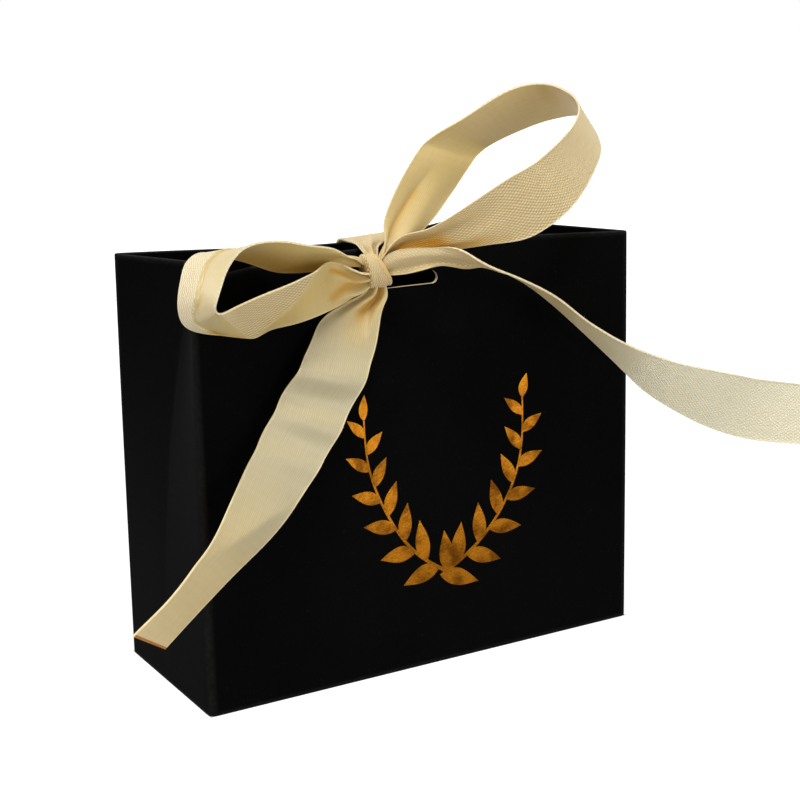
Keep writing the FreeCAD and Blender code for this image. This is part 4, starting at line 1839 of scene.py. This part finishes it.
@dataclass
class FoilSprig:
    """A pair of leafy sprigs stamped in foil on the front wall: stems and leaves that follow them."""

    finishes: Finishes
    form: CardForm
    stems: tuple[Stem, ...] = (
        ((6.5, 21.0), (-3.0, 28.0), (-9.5, 38.0), (-13.0, 49.0), (-13.0, 60.0)),
        ((3.5, 21.0), (14.0, 27.0), (22.5, 36.0), (27.5, 47.0), (29.0, 60.0)),
    )
    stem_width: float = 0.9
    stem_taper: float = 0.6
    stem_steps: int = 60
    leaf_length: float = 10.5
    leaf_width: float = 4.2
    leaf_fullness: float = 0.8
    leaf_bluntness: float = 0.03
    leaf_arch: float = 0.16
    leaf_taper: float = 0.45
    leaf_steps: tuple[int, int] = (17, 5)
    leaves: int = 13
    spread_degrees: float = 38.0
    proud: float = 0.05

    def leaf_tree(self) -> bpy.types.NodeTree:
        """The node tree that sets leaves along a curve, turned to either side by turns.

        Returns:
            The tree, with the leaf's sizes as named inputs.
        """
        tree = bpy.data.node_groups.new("Leaves along a stem", "GeometryNodeTree")
        sockets = {
            "Stem": "Geometry",
            "Leaves": "Int",
            "Leaf length": "Float",
            "Leaf width": "Float",
            "Spread": "Float",
            "Foil": "Material",
        }
        for label, kind in sockets.items():
            tree.interface.new_socket(label, in_out="INPUT", socket_type=f"NodeSocket{kind}")
        tree.interface.new_socket("Leaves", in_out="OUTPUT", socket_type="NodeSocketGeometry")
        build = Shader(tree)
        given = build.node("NodeGroupInput").outputs
        spots = build.node("GeometryNodeCurveToPoints", mode="COUNT")
        build.feed(spots.inputs["Curve"], given["Stem"])
        build.feed(spots.inputs["Count"], given["Leaves"])
        # Leaves turn to the left and the right by turns, and the last one points ahead.
        index = build.node("GeometryNodeInputIndex").outputs[0]
        hand = build.math("MULTIPLY_ADD", build.math("MODULO", index, 2.0), 2.0, -1.0)
        last = build.math("SUBTRACT", given["Leaves"], 1.0)
        before_tip = build.math("LESS_THAN", index, build.math("SUBTRACT", last, 0.5))
        heading = build.node("ShaderNodeSeparateXYZ")
        build.feed(heading.inputs[0], spots.outputs["Tangent"])
        angle = build.math("ARCTAN2", heading.outputs[1], heading.outputs[0])
        side = build.math("MULTIPLY", build.math("MULTIPLY", hand, before_tip), given["Spread"])
        turn = build.node("ShaderNodeCombineXYZ")
        build.feed(turn.inputs[2], build.math("ADD", angle, side))
        taper = build.math("MULTIPLY_ADD", build.math("DIVIDE", index, last), -self.leaf_taper, 1.0)
        growth = build.node("ShaderNodeCombineXYZ")
        build.feed(growth.inputs[0], taper)
        build.feed(growth.inputs[1], build.math("MULTIPLY", taper, hand))
        growth.inputs[2].default_value = 1.0
        planted = build.node("GeometryNodeInstanceOnPoints")
        build.feed(planted.inputs["Points"], spots.outputs["Points"])
        build.feed(planted.inputs["Instance"], self.leaf_blade(build, given))
        build.feed(planted.inputs["Rotation"], turn.outputs[0])
        build.feed(planted.inputs["Scale"], growth.outputs[0])
        real = build.node("GeometryNodeRealizeInstances")
        build.feed(real.inputs[0], planted.outputs[0])
        finish = build.node("GeometryNodeSetMaterial")
        build.feed(finish.inputs["Geometry"], real.outputs[0])
        build.feed(finish.inputs["Material"], given["Foil"])
        build.feed(build.node("NodeGroupOutput").inputs[0], finish.outputs[0])
        return tree

    def leaf_blade(
        self, build: Shader, given: bpy.types.bpy_prop_collection
    ) -> bpy.types.NodeSocket:
        """Adds the nodes of one leaf, pointed at both ends and a little arched.

        Args:
            build: The leaf tree.
            given: The tree's inputs.

        Returns:
            The leaf's geometry.
        """
        blade = build.node("GeometryNodeMeshGrid")
        blade.inputs["Size X"].default_value = 1.0
        blade.inputs["Size Y"].default_value = 1.0
        blade.inputs["Vertices X"].default_value = self.leaf_steps[0]
        blade.inputs["Vertices Y"].default_value = self.leaf_steps[1]
        place = build.node("ShaderNodeSeparateXYZ")
        build.feed(place.inputs[0], build.node("GeometryNodeInputPosition").outputs[0])
        along = build.math("ADD", place.outputs[0], 0.5)
        full = build.math("POWER", along, self.leaf_fullness)
        swell = build.math("SINE", build.math("MULTIPLY", full, math.pi))
        swell = build.math("MAXIMUM", swell, self.leaf_bluntness)
        arch = build.math("MULTIPLY", build.math("POWER", along, 2.0), self.leaf_arch)
        half = build.math("MULTIPLY", place.outputs[1], swell)
        half = build.math("MULTIPLY", half, given["Leaf width"])
        bent = build.math("MULTIPLY", arch, given["Leaf length"])
        outline = build.node("ShaderNodeCombineXYZ")
        build.feed(outline.inputs[0], build.math("MULTIPLY", along, given["Leaf length"]))
        build.feed(outline.inputs[1], build.math("ADD", half, bent))
        shaped = build.node("GeometryNodeSetPosition")
        build.feed(shaped.inputs["Geometry"], blade.outputs["Mesh"])
        build.feed(shaped.inputs["Position"], outline.outputs[0])
        return shaped.outputs["Geometry"]

    def stem_curve(self, stem: Stem) -> bpy.types.Object:
        """A stem as a smooth curve, laid flat in millimetres.

        Args:
            stem: The points that it follows.

        Returns:
            The curve object, linked to the scene.
        """
        data = bpy.data.curves.new("stem_line", "CURVE")
        data.dimensions = "3D"
        spline = data.splines.new("BEZIER")
        spline.bezier_points.add(len(stem) - 1)
        for point, (x, y) in zip(spline.bezier_points, stem):
            point.co = (x, y, 0.0)
            point.handle_left_type = "AUTO"
            point.handle_right_type = "AUTO"
        curve = bpy.data.objects.new("stem_line", data)
        bpy.context.scene.collection.objects.link(curve)
        return curve

    def stem_strip(self, stem: Stem) -> tuple[list[Point], list[Face]]:
        """A stem as a flat strip that tapers to its tip.

        Args:
            stem: The points that it follows.

        Returns:
            Its points, laid flat, and its faces.
        """
        line_x = SmoothLine([(index, point[0]) for index, point in enumerate(stem)])
        line_y = SmoothLine([(index, point[1]) for index, point in enumerate(stem)])
        places = np.linspace(0, len(stem) - 1, self.stem_steps)
        middle = np.array([(line_x.at(place), line_y.at(place)) for place in places])
        along = np.gradient(middle, axis=0)
        side = np.stack([-along[:, 1], along[:, 0]], axis=1)
        side = side / np.linalg.norm(along, axis=1)[:, None]
        narrow = 1 - self.stem_taper * np.linspace(0, 1, len(places))
        half = self.stem_width / 2 * narrow[:, None]
        pairs = zip(middle - side * half, middle + side * half)
        points = [(x, y, 0.0) for pair in pairs for x, y in pair]
        faces = [(2 * i, 2 * i + 2, 2 * i + 3, 2 * i + 1) for i in range(len(places) - 1)]
        return points, faces

    def leaf_mesh(self, tree: bpy.types.NodeTree, stem: Stem) -> tuple[list[Point], list[Face]]:
        """Runs the leaf tree on one stem.

        Args:
            tree: The leaf tree.
            stem: The points that the stem follows.

        Returns:
            The leaves' points, laid flat, and their faces.
        """
        curve = self.stem_curve(stem)
        carrier = curve.modifiers.new("leaves", "NODES")
        carrier.node_group = tree
        values = {
            "Leaves": self.leaves,
            "Leaf length": self.leaf_length,
            "Leaf width": self.leaf_width,
            "Spread": math.radians(self.spread_degrees),
            "Foil": self.finishes.foil,
        }
        for item in tree.interface.items_tree:
            if item.in_out == "INPUT" and item.name in values:
                carrier[item.identifier] = values[item.name]
        leaves = evaluated_mesh(curve)
        bpy.data.objects.remove(curve)
        points = [tuple(vertex.co) for vertex in leaves.vertices]
        return points, [tuple(polygon.vertices) for polygon in leaves.polygons]

    def build(self) -> bpy.types.Object:
        """Builds the leaves and the stems and lays them on the front wall.

        Returns:
            The piece.
        """
        tree = self.leaf_tree()
        points: list[Point] = []
        faces: list[Face] = []
        for stem in self.stems:
            for part_points, part_faces in (self.leaf_mesh(tree, stem), self.stem_strip(stem)):
                faces += [tuple(len(points) + index for index in face) for face in part_faces]
                points += part_points
        # The flat drawing's second measure becomes the height on the wall.
        laid = [(x, self.form.face_y(Side.FRONT, x, z) - self.proud, z) for x, z, _ in points]
        piece = make_piece("foil_sprig", np.array(laid), faces, [self.finishes.foil])
        for polygon in piece.data.polygons:
            if polygon.normal.y > 0:
                polygon.flip()
        piece.data.update()
        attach(piece, "box")
        LOG.info("foil_sprig: %d faces", len(piece.data.polygons))
        return piece


def backdrop_share(shader: Shader) -> bpy.types.NodeSocket:
    """Tells rays that see the white backdrop from those that light the object.

    Args:
        shader: The material or the world that reads it.

    Returns:
        1 on rays from the camera, a mirror or glass, and 0 on the others.
    """
    path = shader.node("ShaderNodeLightPath").outputs
    seen = shader.math("MAXIMUM", path["Is Camera Ray"], path["Is Transmission Ray"])
    return shader.math("MAXIMUM", seen, path["Is Glossy Ray"])


@dataclass(frozen=True)
class Lamp:
    """A soft square lamp, with its places and its size in metres."""

    name: str
    place: Point
    size: float
    power: float
    aim: Point = (0.0, 0.0, 0.07)

    def build(self) -> None:
        """Adds the lamp, turned to what it lights."""
        data = bpy.data.lights.new(self.name, "AREA")
        data.shape = "SQUARE"
        data.size = self.size
        data.energy = self.power
        lamp = bpy.data.objects.new(self.name, data)
        lamp.location = self.place
        towards = Vector(self.aim) - Vector(self.place)
        lamp.rotation_euler = towards.to_track_quat("-Z", "Y").to_euler()
        bpy.context.scene.collection.objects.link(lamp)


@dataclass(frozen=True)
class Floor:
    """A pale floor that keeps the object's shadow and is clear when seen from below.

    Its radius and its level are in millimetres. The places where its glow fades, and half the sizes
    of the object's footprint, which does not glow, are in metres.
    """

    radius: float = 1300.0
    level: float = -0.02
    sides: int = 96
    grey: float = 0.6
    roughness: float = 0.9
    specular: float = 0.1
    glow: float = 1.5
    fade: Flat = (0.25, 0.7)
    least_glow: float = 0.6
    footprint: Flat = (0.0573, 0.0228)

    def glow_share(self, shader: Shader) -> bpy.types.NodeSocket:
        """How much of the floor's glow shows at each place, none of it under the object.

        Args:
            shader: The floor's material.

        Returns:
            The share.
        """
        place = shader.node("ShaderNodeTexCoord").outputs["Object"]
        out = shader.node("ShaderNodeVectorMath", operation="LENGTH")
        shader.feed(out.inputs[0], place)
        far = shader.ramp(out.outputs["Value"], *self.fade)
        share = shader.math("MULTIPLY_ADD", far, 1.0 - self.least_glow, self.least_glow)
        split = shader.node("ShaderNodeSeparateXYZ")
        shader.feed(split.inputs[0], place)
        across = shader.math("DIVIDE", shader.math("ABSOLUTE", split.outputs[0]), self.footprint[0])
        deep = shader.math("DIVIDE", shader.math("ABSOLUTE", split.outputs[1]), self.footprint[1])
        open_floor = shader.math("GREATER_THAN", shader.math("MAXIMUM", across, deep), 1.0)
        return shader.math("MULTIPLY", share, open_floor)

    def material(self) -> bpy.types.Material:
        """The floor's material: matte where light falls on it, and white to the camera.

        Returns:
            The material.
        """
        material = bpy.data.materials.new("pale floor")
        material.use_nodes = True
        tree = material.node_tree
        shader = Shader(tree)
        surface = tree.nodes["Principled BSDF"]
        surface.inputs["Base Color"].default_value = (self.grey, self.grey, self.grey, 1.0)
        surface.inputs["Roughness"].default_value = self.roughness
        surface.inputs["Specular IOR Level"].default_value = self.specular
        glow = shader.node("ShaderNodeEmission")
        glow.inputs["Color"].default_value = (1.0, 1.0, 1.0, 1.0)
        glow.inputs["Strength"].default_value = self.glow
        both = shader.node("ShaderNodeMixShader")
        share = shader.math("MULTIPLY", backdrop_share(shader), self.glow_share(shader))
        shader.feed(both.inputs[0], share)
        shader.feed(both.inputs[1], surface.outputs[0])
        shader.feed(both.inputs[2], glow.outputs[0])
        # Seen from below, the floor is clear.
        one_sided = shader.node("ShaderNodeMixShader")
        shader.feed(one_sided.inputs[0], shader.node("ShaderNodeNewGeometry").outputs["Backfacing"])
        shader.feed(one_sided.inputs[1], both.outputs[0])
        shader.feed(one_sided.inputs[2], shader.node("ShaderNodeBsdfTransparent").outputs[0])
        shader.feed(tree.nodes["Material Output"].inputs["Surface"], one_sided.outputs[0])
        return material

    def build(self) -> None:
        """Lays the floor."""
        turns = np.linspace(0, 2 * math.pi, self.sides + 1)[:-1]
        level = np.full(self.sides, self.level)
        points = np.stack([self.radius * np.cos(turns), self.radius * np.sin(turns), level], axis=1)
        floor = make_piece("floor", points, [tuple(range(self.sides))], [self.material()])


@dataclass
class Studio:
    """The camera of the photograph, with its place in millimetres, soft lamps and a pale floor."""

    place: Point = (-205.6, -367.8, 170.9)
    yaw: float = 29.88
    pitch: float = 14.81
    roll: float = -1.01
    lens: float = 81.86
    sensor: float = 36.0
    clip: Flat = (0.01, 50.0)
    sky: float = 0.25
    lamps: tuple[Lamp, ...] = (
        Lamp("key", place=(-1.0, -0.4, 0.9), size=0.5, power=5.8),
        Lamp("top", place=(0.0, -0.35, 1.4), size=0.4, power=13.5),
        Lamp("fill", place=(0.4, -1.25, 0.05), size=0.8, power=7.2),
        Lamp("rim", place=(-0.6, 0.9, 0.6), size=0.6, power=3.0, aim=(0.0, 0.0, 0.08)),
    )

    def camera(self) -> None:
        """Sets the camera at the photograph's viewing angle."""
        yaw, pitch, roll = (math.radians(angle) for angle in (self.yaw, self.pitch, self.roll))
        forward = Vector(
            (math.sin(yaw) * math.cos(pitch), math.cos(yaw) * math.cos(pitch), -math.sin(pitch))
        )
        level = Vector((math.cos(yaw), -math.sin(yaw), 0.0))
        upright = level.cross(forward)
        # Roll turns the level camera about its own line of sight.
        right = level * math.cos(roll) + upright * math.sin(roll)
        up = upright * math.cos(roll) - level * math.sin(roll)
        data = bpy.data.cameras.new("camera")
        data.sensor_width = self.sensor
        data.lens = self.lens
        data.clip_start, data.clip_end = self.clip
        camera = bpy.data.objects.new("camera", data)
        turn = Matrix((right, up, -forward)).transposed().to_4x4()
        camera.matrix_world = Matrix.Translation(Vector(self.place) * MM) @ turn
        bpy.context.scene.collection.objects.link(camera)
        bpy.context.scene.camera = camera

    def world(self) -> None:
        """Lights the room softly and shows white behind the object."""
        world = bpy.data.worlds.new("studio")
        bpy.context.scene.world = world
        world.use_nodes = True
        shader = Shader(world.node_tree)
        background = world.node_tree.nodes["Background"]
        background.inputs["Color"].default_value = (1.0, 1.0, 1.0, 1.0)
        strength = shader.math("MULTIPLY_ADD", backdrop_share(shader), 1.0 - self.sky, self.sky)
        shader.feed(background.inputs["Strength"], strength)

    def build(self) -> None:
        """Sets up the camera, the lamps, the room and the floor."""
        self.camera()
        for lamp in self.lamps:
            lamp.build()
        self.world()
        Floor().build()


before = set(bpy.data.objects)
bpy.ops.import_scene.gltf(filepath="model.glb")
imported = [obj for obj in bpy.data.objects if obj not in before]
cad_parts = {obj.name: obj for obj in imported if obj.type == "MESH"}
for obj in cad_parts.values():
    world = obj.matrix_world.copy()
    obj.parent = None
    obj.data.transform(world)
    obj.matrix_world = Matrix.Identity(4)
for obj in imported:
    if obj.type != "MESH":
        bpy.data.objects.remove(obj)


def main() -> None:
    """Builds the object in order."""
    logging.basicConfig(level=logging.INFO, format="%(name)s %(message)s")
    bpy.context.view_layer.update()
    bpy.context.scene.view_settings.view_transform = "Standard"
    finishes = Finishes.build()
    Studio().build()
    card = FoldedCard(finishes)
    card.build()
    card.dress_solids(
        ["glue_tab", "front_base_flap", "back_base_flap", "left_base_flap", "right_base_flap"]
    )
    Bow(finishes, card.form).build()
    FoilSprig(finishes, card.form).build()


if __name__ == "__main__":
    main()
